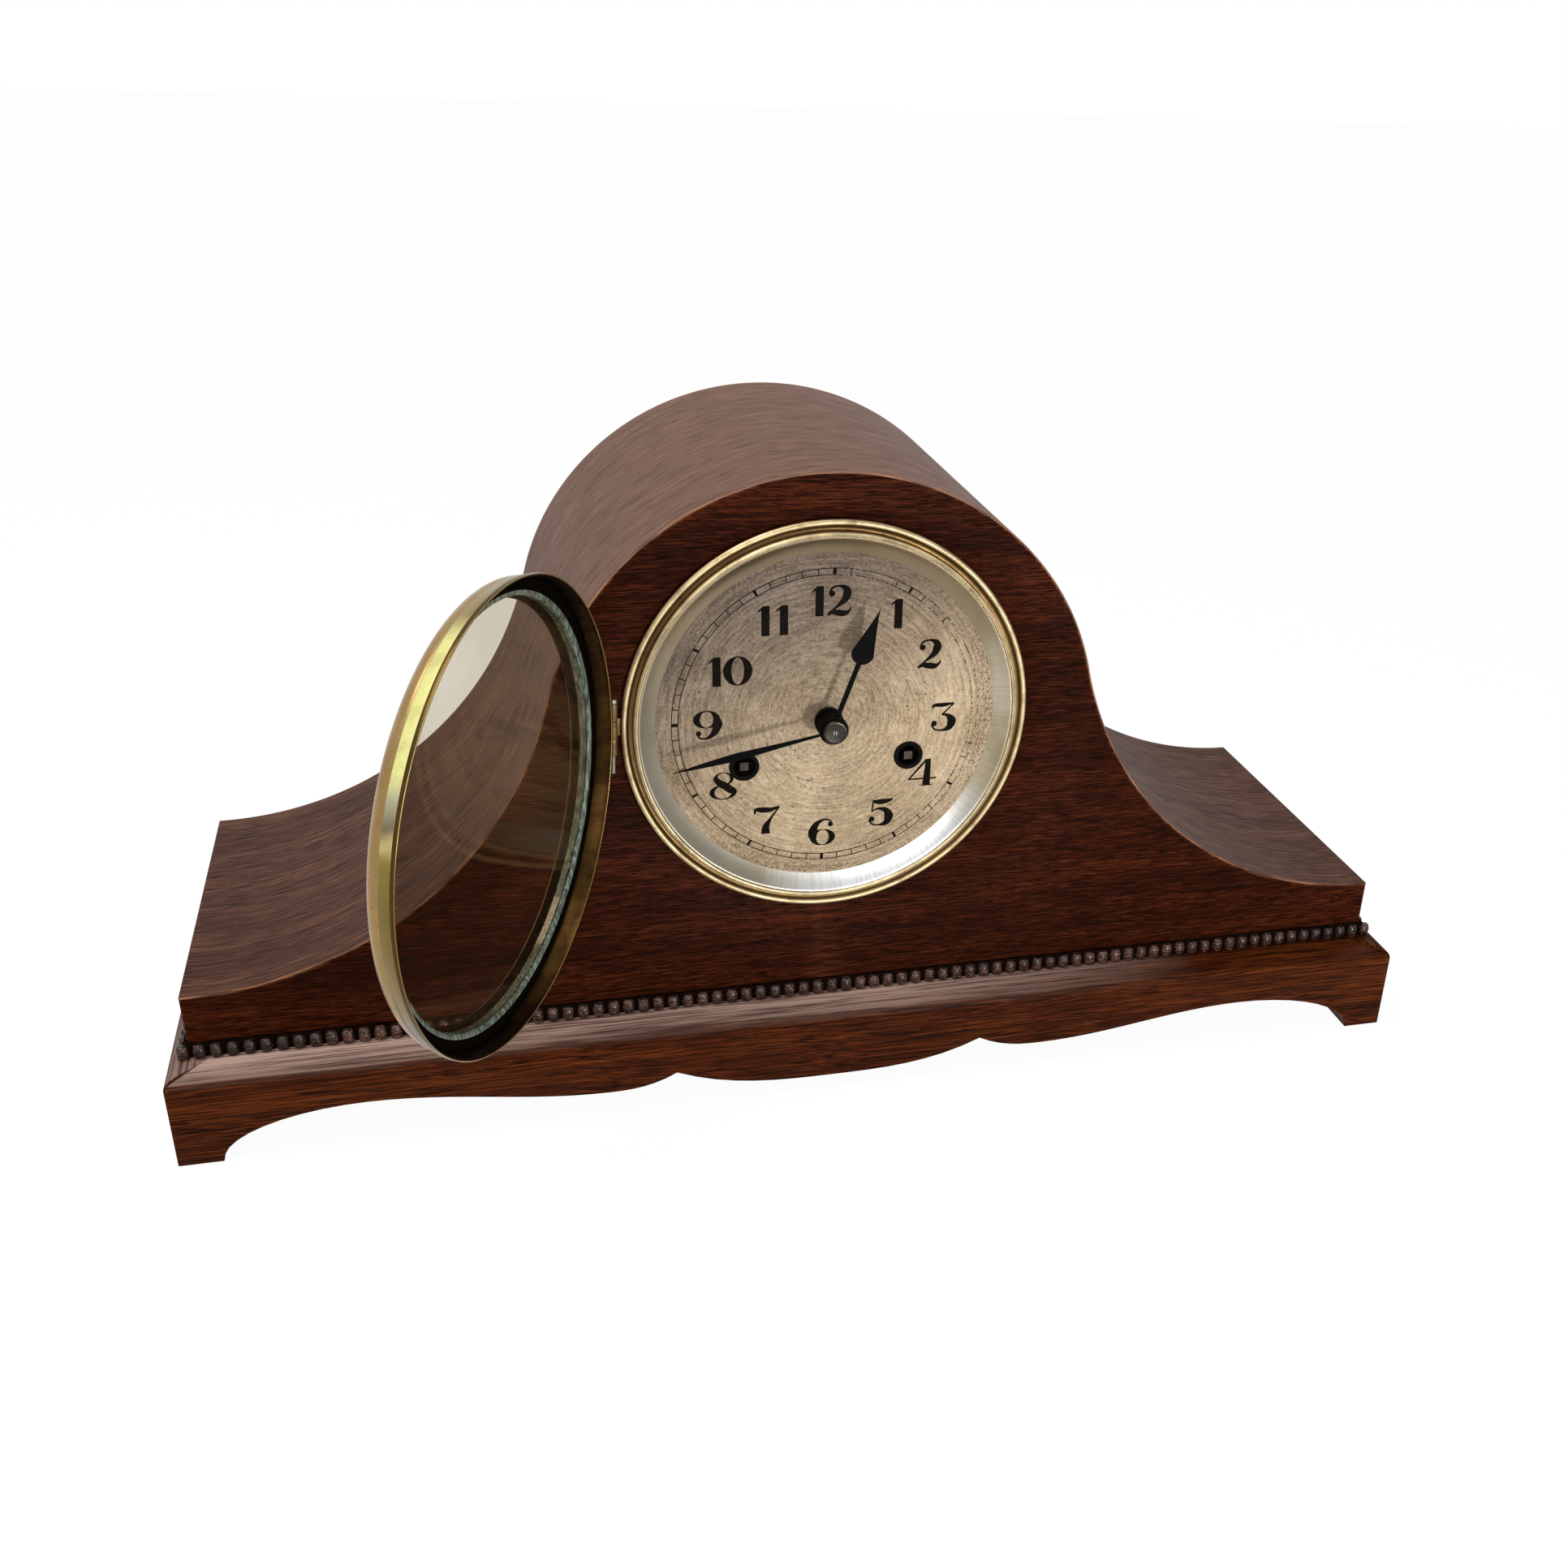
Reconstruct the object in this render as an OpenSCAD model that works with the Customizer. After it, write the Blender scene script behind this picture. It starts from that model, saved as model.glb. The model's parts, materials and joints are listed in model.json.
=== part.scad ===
// Napoleon hat mantel clock with its glazed door open, its movement, gong and pendulum.
// Millimetres, Z up. X runs left to right as seen from the front, and the dial faces -Y.

/* [Case] */
// Width of the case over both shoulder ends
case_w = 446; // [436:1:466]
// Depth of the case from its front face to its back face
case_d = 138; // [132:1:160]
// Height of the case's shoulder ends above the table
shoulder_z = 57.5; // [56:0.5:64]
// Radius of the round arch
arch_r = 98; // [96:0.5:106]
// Height of the arch's centre above the table
arch_z = 132; // [130:0.5:138]
// Height of the dial's centre above the table
dial_z = 143.5; // [141:0.5:146]
// Thickness of the front panel
front_t = 9; // [8:0.5:9.5]
// Thickness of the back panel
back_t = 9; // [8:0.5:12]
// Thickness of the bent top skin
skin_t = 6; // [4:0.5:7]
// Thickness of the end boards
end_t = 8; // [6:0.5:12]
// Thickness of the base board
base_t = 8; // [6:0.5:10]
// Place of the case's front face along Y
case_front_y = -4; // [-6:0.5:-2]

/* [Plinth] */
// Height of the plinth
plinth_h = 34.2; // [32:0.2:36]
// How far the plinth stands in front of the case
plinth_front = 16; // [14:0.5:20]
// How far the plinth stands out beyond each case end
plinth_side = 7; // [6:0.5:10]
// Thickness of the plinth's front and side rails
rail_t = 24; // [22:0.5:28]
// Thickness of the plinth's back rail
back_rail_t = 12; // [10:0.5:16]
// Drop of the plinth's sloping top towards its front edge
top_drop = 1.3; // [0.6:0.1:2]
// Rounding of the plinth's top edge
edge_r = 3; // [2:0.25:4]
// Width of each foot on the table
foot_w = 15; // [10:1:20]
// Width of the quarter round beside each foot
scroll_w = 49.5; // [40:0.5:60]
// Height of the quarter round beside each foot
scroll_h = 17.8; // [14:0.2:22]
// Height of the apron's long dip
dip_z = 9.8; // [7:0.2:12]
// Distance from the centre to the apron's cusp
cusp_x = 57.8; // [50:0.2:66]
// Width of the quick rise outside the cusp
rise_w = 24; // [16:1:32]
// Height of the quick rise outside the cusp
rise_h = 5.3; // [4:0.1:7]
// Height of the middle belly of the apron
belly_z = 6.3; // [4:0.1:9]
// Height of the back rail's lower edge
back_rail_z = 12; // [8:1:18]
// Length of a glue block
block_l = 34; // [24:1:44]
// Width of a glue block
block_w = 12; // [8:1:16]

/* [Bead moulding] */
// Height of the bead moulding
bead_h = 5.6; // [5:0.1:7]
// Largest radius of one bead
bead_r = 1.95; // [1.5:0.05:2.2]
// Radius of a bead at its two ends
bead_end_r = 0.9; // [0.6:0.05:1.2]
// Wanted spacing of the beads
bead_pitch = 5.39; // [5:0.01:6.5]
// Thickness of the moulding's backing strip
bead_back_t = 1.2; // [0.8:0.1:1.5]
// How far a bead's axis lies in front of the case
bead_axis = 1.65; // [1.4:0.05:1.8]

/* [Dial and bezel] */
// How far the dial plate reaches under the reflector ring
dial_under = 1.6; // [1.4:0.1:2]
// Thickness of the dial plate
dial_t = 0.8; // [0.6:0.1:1]
// Depth of the dial plate's front face behind the case front
dial_depth = 1; // [0.9:0.05:1.1]
// Clearance round the dial plate in its recess
dial_clear = 1.2; // [1.1:0.1:1.3]
// Width of the front panel's ledge behind the dial plate's edge
dial_seat = 5.2; // [4:0.1:7]
// Width of the slanted reflector ring
reflector_w = 6.1; // [5.8:0.1:6.3]
// Width of the flange outside its raised ridge
flange_band = 4.1; // [3.8:0.1:4.3]
// Thickness of the raised ridge's wall
ridge_t = 1.6; // [1.4:0.1:1.8]
// Height of the raised ridge above the case front
ridge_h = 3.3; // [3.2:0.1:3.6]
// Radius of the rolled outer lip
lip_r = 1.1; // [0.9:0.05:1.15]
// Radius of the hole in the middle of the dial
centre_hole_r = 4.6; // [4.2:0.1:4.9]
// Distance of each winding hole from the middle, sideways
wind_x = 29.4; // [29:0.1:30]
// Distance of each winding hole below the middle
wind_drop = 15.6; // [15.2:0.1:16]
// Outer radius of a winding hole's grommet
grommet_r = 5.35; // [5:0.05:6]
// Bore radius of a winding hole's grommet
grommet_bore = 3.6; // [3.2:0.1:4]

/* [Glazed door] */
// How far the door ring reaches past the glass's edge
door_side = 5.7; // [5.6:0.1:6]
// How far the closed door reaches past the flange
door_over = 0.6; // [0.4:0.1:0.9]
// Wall thickness of the door ring
door_t = 0.6; // [0.5:0.05:0.65]
// Height of the door ring's back edge above the case front
door_back_h = 2.4; // [2.4:0.1:2.8]
// Height of the top of the door ring's straight back wall
door_wall_h = 3.9; // [3.8:0.1:4.2]
// How far the door ring leans in between its back wall and its rounded lip
door_lean = 1.4; // [1:0.1:1.5]
// Height at which the door ring's lip starts to round
door_lip_h = 8; // [7.8:0.1:8.4]
// Height of the door ring's front lip
door_h = 13.6; // [13:0.1:14]
// How far the door ring's lip covers the glass's edge
glass_cover = 2.8; // [2.5:0.1:3.1]
// Radius of the glass
glass_r = 66.3; // [60:0.1:70]
// Thickness of the glass
glass_t = 2; // [1.6:0.1:2.1]
// Height of the glass's inner edge above the case front
glass_h = 8.6; // [8.5:0.1:8.7]
// Rise of the domed glass from its edge to its middle
glass_rise = 7.5; // [7:0.1:9]
// Angle at which the door stands open
door_rest = 118; // [0:0.5:125]
// Distance of the door's hinge axis outside the door ring
hinge_off = 2; // [1.9:0.1:2.6]
// Height of the door's hinge axis above the case front
hinge_h = 3; // [3:0.1:3.4]
// Radius of the hinge knuckles
knuckle_r = 1.4; // [1.2:0.05:1.45]
// Length of each hinge knuckle
knuckle_l = 6.2; // [5:0.1:8]
// Angle of the door's hinge above nine o'clock
hinge_turn = 2.4; // [0:0.1:5]
// Radius of the hinge pin
hinge_pin_r = 0.75; // [0.5:0.05:0.8]
// Length of the hinge pin's tail below the knuckles
hinge_tail = 6.5; // [2:0.5:10]

/* [Hands] */
// Angle of the minute hand, clockwise from the top
minute_angle = 258.3; // [0:0.1:359]
// Angle of the hour hand, clockwise from the top
hour_angle = 20.3; // [0:0.1:359]
// Length of the minute hand
minute_l = 56.5; // [50:0.5:58]
// Length of the hour hand
hour_l = 45; // [40:0.5:48]
// Thickness of the hands
hand_t = 0.6; // [0.4:0.1:0.8]
// Height of the hour hand above the case front
hour_h = 6.8; // [6.4:0.1:7]
// Height of the minute hand above the case front
minute_h = 9.4; // [9.2:0.1:9.5]
// Radius of the teardrop on the hour hand
drop_r = 4; // [3:0.1:5]
// Distance of the teardrop's centre from the hour hand's axis
drop_at = 28.4; // [26:0.2:30]
// Radius of the black boss under the hour hand
boss_r = 5.1; // [4.9:0.1:5.6]
// Widest width of the minute hand
minute_w = 2.9; // [2:0.1:4]
// Radius of the hand nut
nut_r = 4.2; // [3.5:0.1:4.8]

/* [Movement plates] */
// Thickness of the two brass movement plates
plate_t = 2; // [1.6:0.1:2.2]
// Half width of the movement plates
plate_hw = 56; // [55.5:0.5:56.5]
// Distance from the dial's centre down to the plates' lower edge
plate_down = 48; // [46:1:50]
// Distance from the dial's centre up to the plates' top edge
plate_up = 60; // [59:0.5:61]
// Distance of the front plate's face behind the case front
front_plate_y = 16; // [16:0.1:16.5]
// Distance of the back plate's face behind the case front
back_plate_y = 56; // [56:0.5:58]
// Radius of a pillar
pillar_r = 3.5; // [3:0.1:4]
// Distance of the corner pillars from the middle, sideways
pillar_x = 52; // [50:0.5:52]
// Distance of the corner pillars above and below the middle
pillar_z = 42; // [40:0.5:43]
// Radius of a wheel's arbor
arbor_r = 1.1; // [1:0.05:1.2]
// Radius of an arbor's pivots
pivot_r = 0.7; // [0.6:0.05:0.8]
// Clearance of a running pivot in its hole
run_clear = 0.08; // [0.06:0.01:0.1]

/* [Wheel train] */
// Pressure angle of the wheel teeth
tooth_angle = 25; // [22:1:26]
// Thinning of each tooth that gives the play between wheels
tooth_play = 0.1; // [0.08:0.01:0.12]
// Radius of the hollow of the spring barrels
barrel_in_r = 22.5; // [21.5:0.1:22.6]
// Radius of the outside of the spring barrels
barrel_r = 23.5; // [23.2:0.1:23.6]
// Side of the square on the winding arbors
square_side = 3; // [2.6:0.1:3.2]
// Radius of the winding arbors
wind_r = 2.3; // [2.2:0.05:2.5]
// Radius of the click wheels
click_wheel_r = 7; // [6.5:0.1:7.5]
// Teeth on the escape wheel
escape_teeth = 30; // [24:2:36]
// Radius of the escape wheel
escape_r = 8.6; // [8.2:0.1:8.8]
// Gap between the escape wheel's tips and the pallets at mid swing
pallet_gap = 0.6; // [0.55:0.05:0.8]
// Height of the anchor's axis above the escape wheel's
anchor_up = 11.2; // [11:0.1:11.6]

/* [Pendulum] */
// Distance of the pendulum's plane behind the case front
pendulum_y = 71; // [70:0.5:74]
// Length of the pendulum from its axis to the bob's centre
pendulum_l = 112; // [104:1:116]
// Radius of the bob
bob_r = 17; // [14:0.5:19]
// Thickness of the bob
bob_t = 9; // [6:0.5:10]
// Radius of the pendulum rod
rod_r = 1; // [0.8:0.1:1.2]

/* [Gong] */
// Number of gong rods
gong_n = 3; // [1:1:3]
// Length of the longest gong rod
gong_l = 250; // [200:1:260]
// Radius of a gong rod
gong_r = 1.2; // [0.9:0.1:1.5]
// Spacing of the gong rods
gong_pitch = 7; // [6:0.5:8]
// Height of the gong rods above the table
gong_z = 56; // [54:0.5:57]
// Distance of the first gong rod behind the case front
gong_y = 88; // [86:1:92]
// Distance of the gong block's middle from the clock's middle
gong_block_x = 120; // [110:1:124]

/* [Back door] */
// Radius of the arched opening in the back panel
back_open_r = 80; // [76:0.5:82]
// Height of the back opening's lower edge above the table
back_open_z = 62; // [58:1:70]
// Clearance of the back door in its opening
back_clear = 0.5; // [0.3:0.1:1]
// Thickness of the back door
back_door_t = 7; // [5:0.5:8]
// Radius of the back door's hinge knuckles
back_knuckle_r = 1.5; // [1.2:0.1:1.8]
// Length of the turn button
button_l = 26; // [22:1:30]

/* [Hidden] */

round_fn = 96;
small_fn = 32;
far = 600;
half_w = case_w / 2;
plinth_hw = half_w + plinth_side;
shoulder_rise = shoulder_z - arch_z;
sweep_r = (half_w * half_w + shoulder_rise * shoulder_rise - arch_r * arch_r)
    / (2 * (arch_r - shoulder_rise));
sweep_z = shoulder_z + sweep_r;
tangent_angle = atan2(sweep_z - arch_z, half_w);
arc_step = 2.5;
bead_n = round((case_w + 2 * bead_axis) / bead_pitch);
bead_step = (case_w + 2 * bead_axis) / bead_n;
bead_side_n = floor((case_d + bead_axis - bead_r) / bead_step);
dial_back = dial_depth + dial_t;

// Rings of the door and the bezel, from the glass outwards and then in to the dial
door_open_r = glass_r - glass_cover;
door_r = glass_r + door_side;
hinge_x = door_r + hinge_off;
flange_r = door_r - door_over;
ridge_r = flange_r - flange_band;
ridge_in = ridge_r - ridge_t;
reflector_r = ridge_in - reflector_w;
dial_r = reflector_r + dial_under;
panel_hole_r = dial_r - dial_seat;

// Teeth and modules of the wheels: wheel teeth, pinion leaves, module
leaf_n = 12;
great_n = 84;
great_leaf_n = 14;
great_m = 0.6;
inter_n = 48;
train_n = 60;
train_m = 0.5;
third_n = 72;
fine_m = 0.4;
strike_m = 0.45;
last_m = 0.35;
warn_n = 48;
motion_m = 0.5;
motion_wheel_n = 36;
hour_pinion_n = 10;
hour_wheel_n = 40;

// Places of the arbors, seen from the front and measured from the dial's centre
centre = [0, 0];
going_at = [wind_x, -wind_drop];
strike_at = [-wind_x, -wind_drop];
second_at = meet(going_at, mesh_gap(great_m, great_n, great_leaf_n), centre, mesh_gap(great_m, inter_n,
    leaf_n), -1);
third_at = along(centre, mesh_gap(train_m, train_n, leaf_n), 100);
fourth_at = along(third_at, mesh_gap(fine_m, third_n, leaf_n), 45);
escape_gap = mesh_gap(fine_m, train_n, leaf_n);
escape_at = [0, fourth_at[1] + sqrt(escape_gap * escape_gap - fourth_at[0] * fourth_at[0])];
anchor_at = [0, escape_at[1] + anchor_up];
motion_at = [0, -mesh_gap(motion_m, motion_wheel_n, leaf_n)];
hour_m = 2 * mesh_gap(motion_m, motion_wheel_n, leaf_n) / (hour_wheel_n + hour_pinion_n);
strike_second_at = along(strike_at, mesh_gap(great_m, great_n, great_leaf_n), 110);
pin_at = along(strike_second_at, mesh_gap(train_m, train_n, leaf_n), 30);
strike_fourth_at = along(pin_at, mesh_gap(strike_m, train_n, leaf_n), 62);
warning_at = along(strike_fourth_at, mesh_gap(last_m, train_n, leaf_n), 172);
fly_at = along(warning_at, mesh_gap(last_m, warn_n, leaf_n), 120);
hammer_at = along(pin_at, 24, 150);

// Layers of the movement behind the case front
plate_in = front_plate_y + plate_t;
plate_end = back_plate_y + plate_t;
shake = 0.2;
great_y = 27;
great_t = 2.4;
great_leaf_y = [great_y - 0.6, great_y + great_t + 1.1];
leaf_over = 1;
inter_y = 20;
inter_t = 2;
centre_wheel_y = 24.5;
train_t = 1.5;
third_y = 31;
fine_t = 1.6;
fourth_y = 36;
escape_y = 44;
escape_t = 1.2;
strike_fourth_y = 33.5;
strike_fourth_t = 1.3;
warning_y = 39;
warning_t = 1.2;
vane_y = [44, 53];
stud_x = 9;
stud_drop = click_wheel_r + 3;
barrel_end = 54;
pin_circle_r = 12;
pin_r = 0.6;
pin_y = 22.4;
pin_wheel_y = 24.5;
pillar_places = concat([for (x = [-pillar_x, pillar_x], z = [-pillar_z, pillar_z]) [x, z]], [[0,
    -pillar_z]]);

function leaf_layer(y, t) = [y - leaf_over, y + t + leaf_over];
function mesh_gap(m, a, b) = m * (a + b) / 2;
function along(p, r, a) = [p[0] + r * cos(a), p[1] + r * sin(a)];
function span(a, b) = sqrt((b[0] - a[0]) * (b[0] - a[0]) + (b[1] - a[1]) * (b[1] - a[1]));
function meet(a, ra, b, rb, side) =
    let (d = span(a, b))
    let (u = [(b[0] - a[0]) / d, (b[1] - a[1]) / d])
    let (p = (ra * ra - rb * rb + d * d) / (2 * d))
    let (q = sqrt(ra * ra - p * p))
    [a[0] + p * u[0] - side * q * u[1], a[1] + p * u[1] + side * q * u[0]];

// Involute function in degrees
function involute(a) = tan(a) * 180 / PI - a;
// Half width of a tooth at radius r, in degrees
function half_tooth(r, m, n) =
    let (pitch_r = m * n / 2)
    let (base_r = pitch_r * cos(tooth_angle))
    90 / n - tooth_play / (2 * pitch_r) * 180 / PI + involute(tooth_angle) - involute(acos(min(1,
        base_r / r)));
// Angle of a tooth of the driven wheel that meshes with a wheel whose tooth stands at phase
function mesh_phase(a, b, na, nb, phase) =
    let (t = atan2(b[1] - a[1], b[0] - a[0]))
    t + 180 - (phase - t) * na / nb - 180 / nb;
// Outline of a toothed wheel
function teeth(m, n, phase) =
    let (pitch_r = m * n / 2)
    let (root_r = pitch_r - m)
    let (low_r = max(root_r, pitch_r * cos(tooth_angle)))
    let (tip_r = pitch_r + 0.8 * m)
    let (radii = n < 30 ? [(low_r + pitch_r) / 2, (pitch_r + tip_r) / 2, tip_r] : [pitch_r, tip_r])
    let (root_half = half_tooth(low_r, m, n))
    [for (i = [0 : n - 1])
        let (c = phase + 360 * i / n)
        for (side = [-1, 1])
            let (order = side < 0 ? [-1 : 1 : len(radii) - 1] : [len(radii) - 1 : -1 : -1])
            for (k = order)
                let (r = k < 0 ? root_r : radii[k])
                let (h = k < 0 ? root_half : half_tooth(r, m, n))
                [r * cos(c + side * h), r * sin(c + side * h)]];

// Moves a piece from the case's own frame to its place
module placed() {
    translate([0, case_front_y, 0]) children();
}

// Extrudes an outline drawn in X and Z between two depths behind the case front
module slab(y0, y1) {
    translate([0, y1, 0]) rotate([90, 0, 0]) linear_extrude(y1 - y0) children();
}

// A slab whose outline is measured from the dial's centre
module dial_slab(y0, y1) {
    slab(y0, y1) translate([0, dial_z]) children();
}

// Turns a profile of radius and height above the case front about the dial's axis
module turned(at = [0, 0]) {
    translate([at[0], 0, dial_z + at[1]]) rotate([90, 0, 0]) rotate_extrude($fn = round_fn) children();
}

// A round rod along Y at a place measured from the dial's centre
module rod(at, y0, y1, r) {
    translate([at[0], y1, dial_z + at[1]]) rotate([90, 0, 0]) cylinder(h = y1 - y0, r = r,
        $fn = small_fn);
}

// Points on an arc, from one angle to another in near equal steps
function arc(at, r, from, to) =
    let (n = ceil(abs(to - from) / arc_step))
    [for (i = [0 : n]) let (a = from + (to - from) * i / n) [at[0] + r * cos(a), at[1] + r * sin(a)]];

// The case's top line from right to left, drawn in by an inset: a sweep, the arch and a sweep
function top_line(inset) = concat(
    arc([half_w, sweep_z], sweep_r + inset, 270, 180 + tangent_angle),
    arc([0, arch_z], arch_r - inset, tangent_angle + arc_step, 180 - tangent_angle - arc_step),
    arc([-half_w, sweep_z], sweep_r + inset, -tangent_angle, -90));

// Outline of the case, drawn in by an inset from the top
module hat(inset) {
    polygon(concat([[-half_w, plinth_h], [half_w, plinth_h]], top_line(inset)));
}

// Outline of the arched opening in the back, drawn in by an inset
module back_arch(inset) {
    polygon(concat([[-back_open_r + inset, back_open_z + inset], [back_open_r - inset,
        back_open_z + inset]],
        arc([0, arch_z], back_open_r - inset, 0, 180)));
}

button_x = -back_open_r - 9;
button_z = 97;
strap_z = 30;
strap_foot_x = 66;
strap_plate_x = 51;
strap_t = 1.5;
screw_r = 1.5;

module front_panel() {
    color("#5a2a1c") placed() difference() {
        slab(0, front_t) hat(0);
        turned() translate([0, -dial_back]) square([dial_r + dial_clear, dial_back + 1]);
        turned() translate([0, -front_t - 1]) square([panel_hole_r, front_t + 2]);
        for (x = [-strap_foot_x, strap_foot_x], z = [-strap_z, strap_z])
            rod([x, z], front_t - 5, front_t + 1, screw_r);
    }
}

module back_panel() {
    color("#4a2418") placed() difference() {
        slab(case_d - back_t, case_d) hat(0);
        slab(case_d - back_t - 1, case_d + 1) back_arch(0);
        translate([button_x, case_d - 5, button_z]) rotate([-90, 0, 0]) cylinder(h = 6,
            r = screw_r + run_clear,
            $fn = small_fn);
    }
}

module top_skin() {
    under = top_line(skin_t);
    color("#a08478") placed() slab(front_t, case_d - back_t)
        polygon(concat(top_line(0), [for (i = [len(under) - 1 : -1 : 0]) under[i]]));
}

module end_boards() {
    color("#5a2a1c") placed() for (s = [-1, 1]) slab(front_t, case_d - back_t) intersection() {
        hat(skin_t);
        translate([s > 0 ? half_w - end_t : -half_w, plinth_h]) square([end_t, far]);
    }
}

module base_board() {
    color("#7a4a30") placed() translate([-half_w + end_t, front_t, plinth_h])
        cube([case_w - 2 * end_t, case_d - front_t - back_t, base_t]);
}

// Height of the apron's lower edge at a distance from the middle
scroll_x = plinth_hw - foot_w - scroll_w;
rise_x = cusp_x + rise_w;
cusp_h = dip_z + rise_h - belly_z;
function scroll_edge() = [for (a = [0 : 9 : 90]) [scroll_x + scroll_w * cos(a), scroll_h * sin(a)]];
function long_edge() = [for (i = [1 : 12])
    [scroll_x - (scroll_x - rise_x) * i / 12, dip_z + (scroll_h - dip_z) * (1 + cos(15 * i)) / 2]];
function rise_edge() = [for (i = [1 : 6]) [rise_x - rise_w * i / 6, dip_z + rise_h * pow(i / 6, 2.5)]];
function belly_edge() = [for (i = [1 : 8]) let (t = 1 - i / 8) [cusp_x * t, belly_z + cusp_h * pow(t,
    3)]];
function half_apron() = concat(scroll_edge(), long_edge(), rise_edge(), belly_edge());

module apron_cut() {
    polygon(concat([[plinth_hw - foot_w, -1]], half_apron(), [[0, -1]]));
}

// Outer corner rounding of the plinth's top
function top_edge(out, top) = [for (a = [0 : 15 : 90])
    [out - edge_r + edge_r * cos(90 - a), top - edge_r + edge_r * sin(90 - a)]];

module front_profile() {
    polygon(concat([[-rail_t + plinth_front, 0], [-rail_t + plinth_front, plinth_h],
        [bead_axis + bead_r, plinth_h]],
        top_edge(plinth_front, plinth_h - top_drop), [[plinth_front, 0]]));
}

module side_profile() {
    polygon(concat([[plinth_hw - rail_t, 0], [plinth_hw - rail_t, plinth_h],
        [half_w + bead_axis + bead_r, plinth_h]],
        top_edge(plinth_hw, plinth_h - 0.2), [[plinth_hw, 0]]));
}

// Plan of one mitred corner region taken by the front rail
module mitre_plan() {
    polygon([[-plinth_hw - 1, -plinth_front - 1], [plinth_hw + 1, -plinth_front - 1],
        [plinth_hw - rail_t - 1, -plinth_front + rail_t + 1], [-plinth_hw + rail_t + 1,
            -plinth_front + rail_t + 1]]);
}

module plinth_front_rail() {
    color("#8a5230") placed() difference() {
        intersection() {
            translate([-plinth_hw, 0, 0]) rotate([90, 0, 90]) linear_extrude(2 * plinth_hw)
                mirror([1, 0]) front_profile();
            translate([0, 0, -1]) linear_extrude(plinth_h + 2) mitre_plan();
        }
        slab(-plinth_front - 1, rail_t) apron_cut();
        slab(-plinth_front - 1, rail_t) mirror([1, 0]) apron_cut();
    }
}

side_scroll_w = 30;
side_scroll_h = 15;
side_dip_z = 9;
side_run = (case_d + plinth_front) / 2 - foot_w - side_scroll_w;
function side_half(y0, s) = concat(
    [for (a = [0 : 10 : 90]) [y0 + s * (side_scroll_w - side_scroll_w * cos(a)), side_scroll_h * sin(a)]],
    [for (i = [1 : 8]) [y0 + s * (side_scroll_w + side_run * i / 8),
        side_dip_z + (side_scroll_h - side_dip_z) * (1 + cos(22.5 * i)) / 2]]);

module side_cut() {
    front = side_half(-plinth_front + foot_w, 1);
    back = side_half(case_d - foot_w, -1);
    polygon(concat([[-plinth_front + foot_w, -1]], front, [for (i = [len(back) - 2 : -1 : 0]) back[i]],
        [[case_d - foot_w, -1]]));
}

module plinth_side_rails() {
    color("#8a5230") placed() for (s = [0, 1]) mirror([s, 0, 0]) difference() {
        translate([0, case_d, 0]) rotate([90, 0, 0]) linear_extrude(case_d + plinth_front) side_profile();
        translate([0, 0, -1]) linear_extrude(plinth_h + 2) mitre_plan();
        translate([plinth_hw - rail_t - 1, 0, 0]) rotate([90, 0,
            90]) linear_extrude(rail_t + 2) side_cut();
    }
}

module plinth_back_rail() {
    color("#6a3c26") placed() translate([-plinth_hw + rail_t, case_d - back_rail_t, back_rail_z])
        cube([2 * (plinth_hw - rail_t), back_rail_t, plinth_h - back_rail_z]);
}

module glue_blocks() {
    block_h = 14;
    front_y = -plinth_front + rail_t;
    back_y = case_d - back_rail_t - block_w;
    color("#b08050") placed() for (x = [-0.72, -0.24, 0.24, 0.72], y = [front_y, back_y])
        translate([x * (plinth_hw - rail_t) - block_l / 2, y, plinth_h - block_h]) cube([block_l,
            block_w, block_h]);
}

// One turned bead of the moulding, standing on its end
module bead() {
    waist = 0.75;
    rotate_extrude($fn = small_fn) polygon(concat([[0, 0]],
        [for (i = [0 : 6]) [bead_end_r + (bead_r - bead_end_r) * pow(sin(30 * i), waist),
            (bead_h - 0.2) * i / 6]],
        [[0, bead_h - 0.2]]));
}

module bead_front() {
    reach = half_w + bead_axis + bead_r;
    color("#5a3020") placed() difference() {
        union() {
            translate([-half_w - bead_back_t, -bead_back_t, plinth_h])
                cube([case_w + 2 * bead_back_t, bead_back_t + 1, bead_h]);
            for (i = [0 : bead_n]) translate([-half_w - bead_axis + i * bead_step, -bead_axis,
                plinth_h]) bead();
        }
        translate([-reach, 0, plinth_h - 1]) cube([2 * reach, far, bead_h + 2]);
    }
}

module bead_sides() {
    color("#5a3020") placed() for (s = [0, 1]) mirror([s, 0, 0]) difference() {
        union() {
            translate([half_w - 1, 0, plinth_h]) cube([bead_back_t + 1, case_d, bead_h]);
            for (i = [1 : bead_side_n])
                translate([half_w + bead_axis, -bead_axis + i * bead_step, plinth_h]) bead();
        }
        translate([half_w - far, -1, plinth_h - 1]) cube([far, case_d + 2, bead_h + 2]);
    }
}

reflector_t = 0.5;
reflector_top = ridge_h - 0.8;

module bezel_flange() {
    base_h = 0.45;
    color("#b08a3c") placed() turned() union() {
        polygon([[ridge_in - 2, 0], [flange_r - lip_r, 0], [flange_r - lip_r, 2 * lip_r * 0.6],
            [ridge_r + 1, base_h],
            [ridge_r, base_h], [ridge_r, ridge_h - 0.6], [ridge_r - ridge_t / 2, ridge_h], [ridge_in,
                ridge_h - 0.6],
            [ridge_in, base_h], [ridge_in - 2, base_h]]);
        translate([flange_r - lip_r, lip_r]) circle(lip_r, $fn = small_fn);
    }
}

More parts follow.
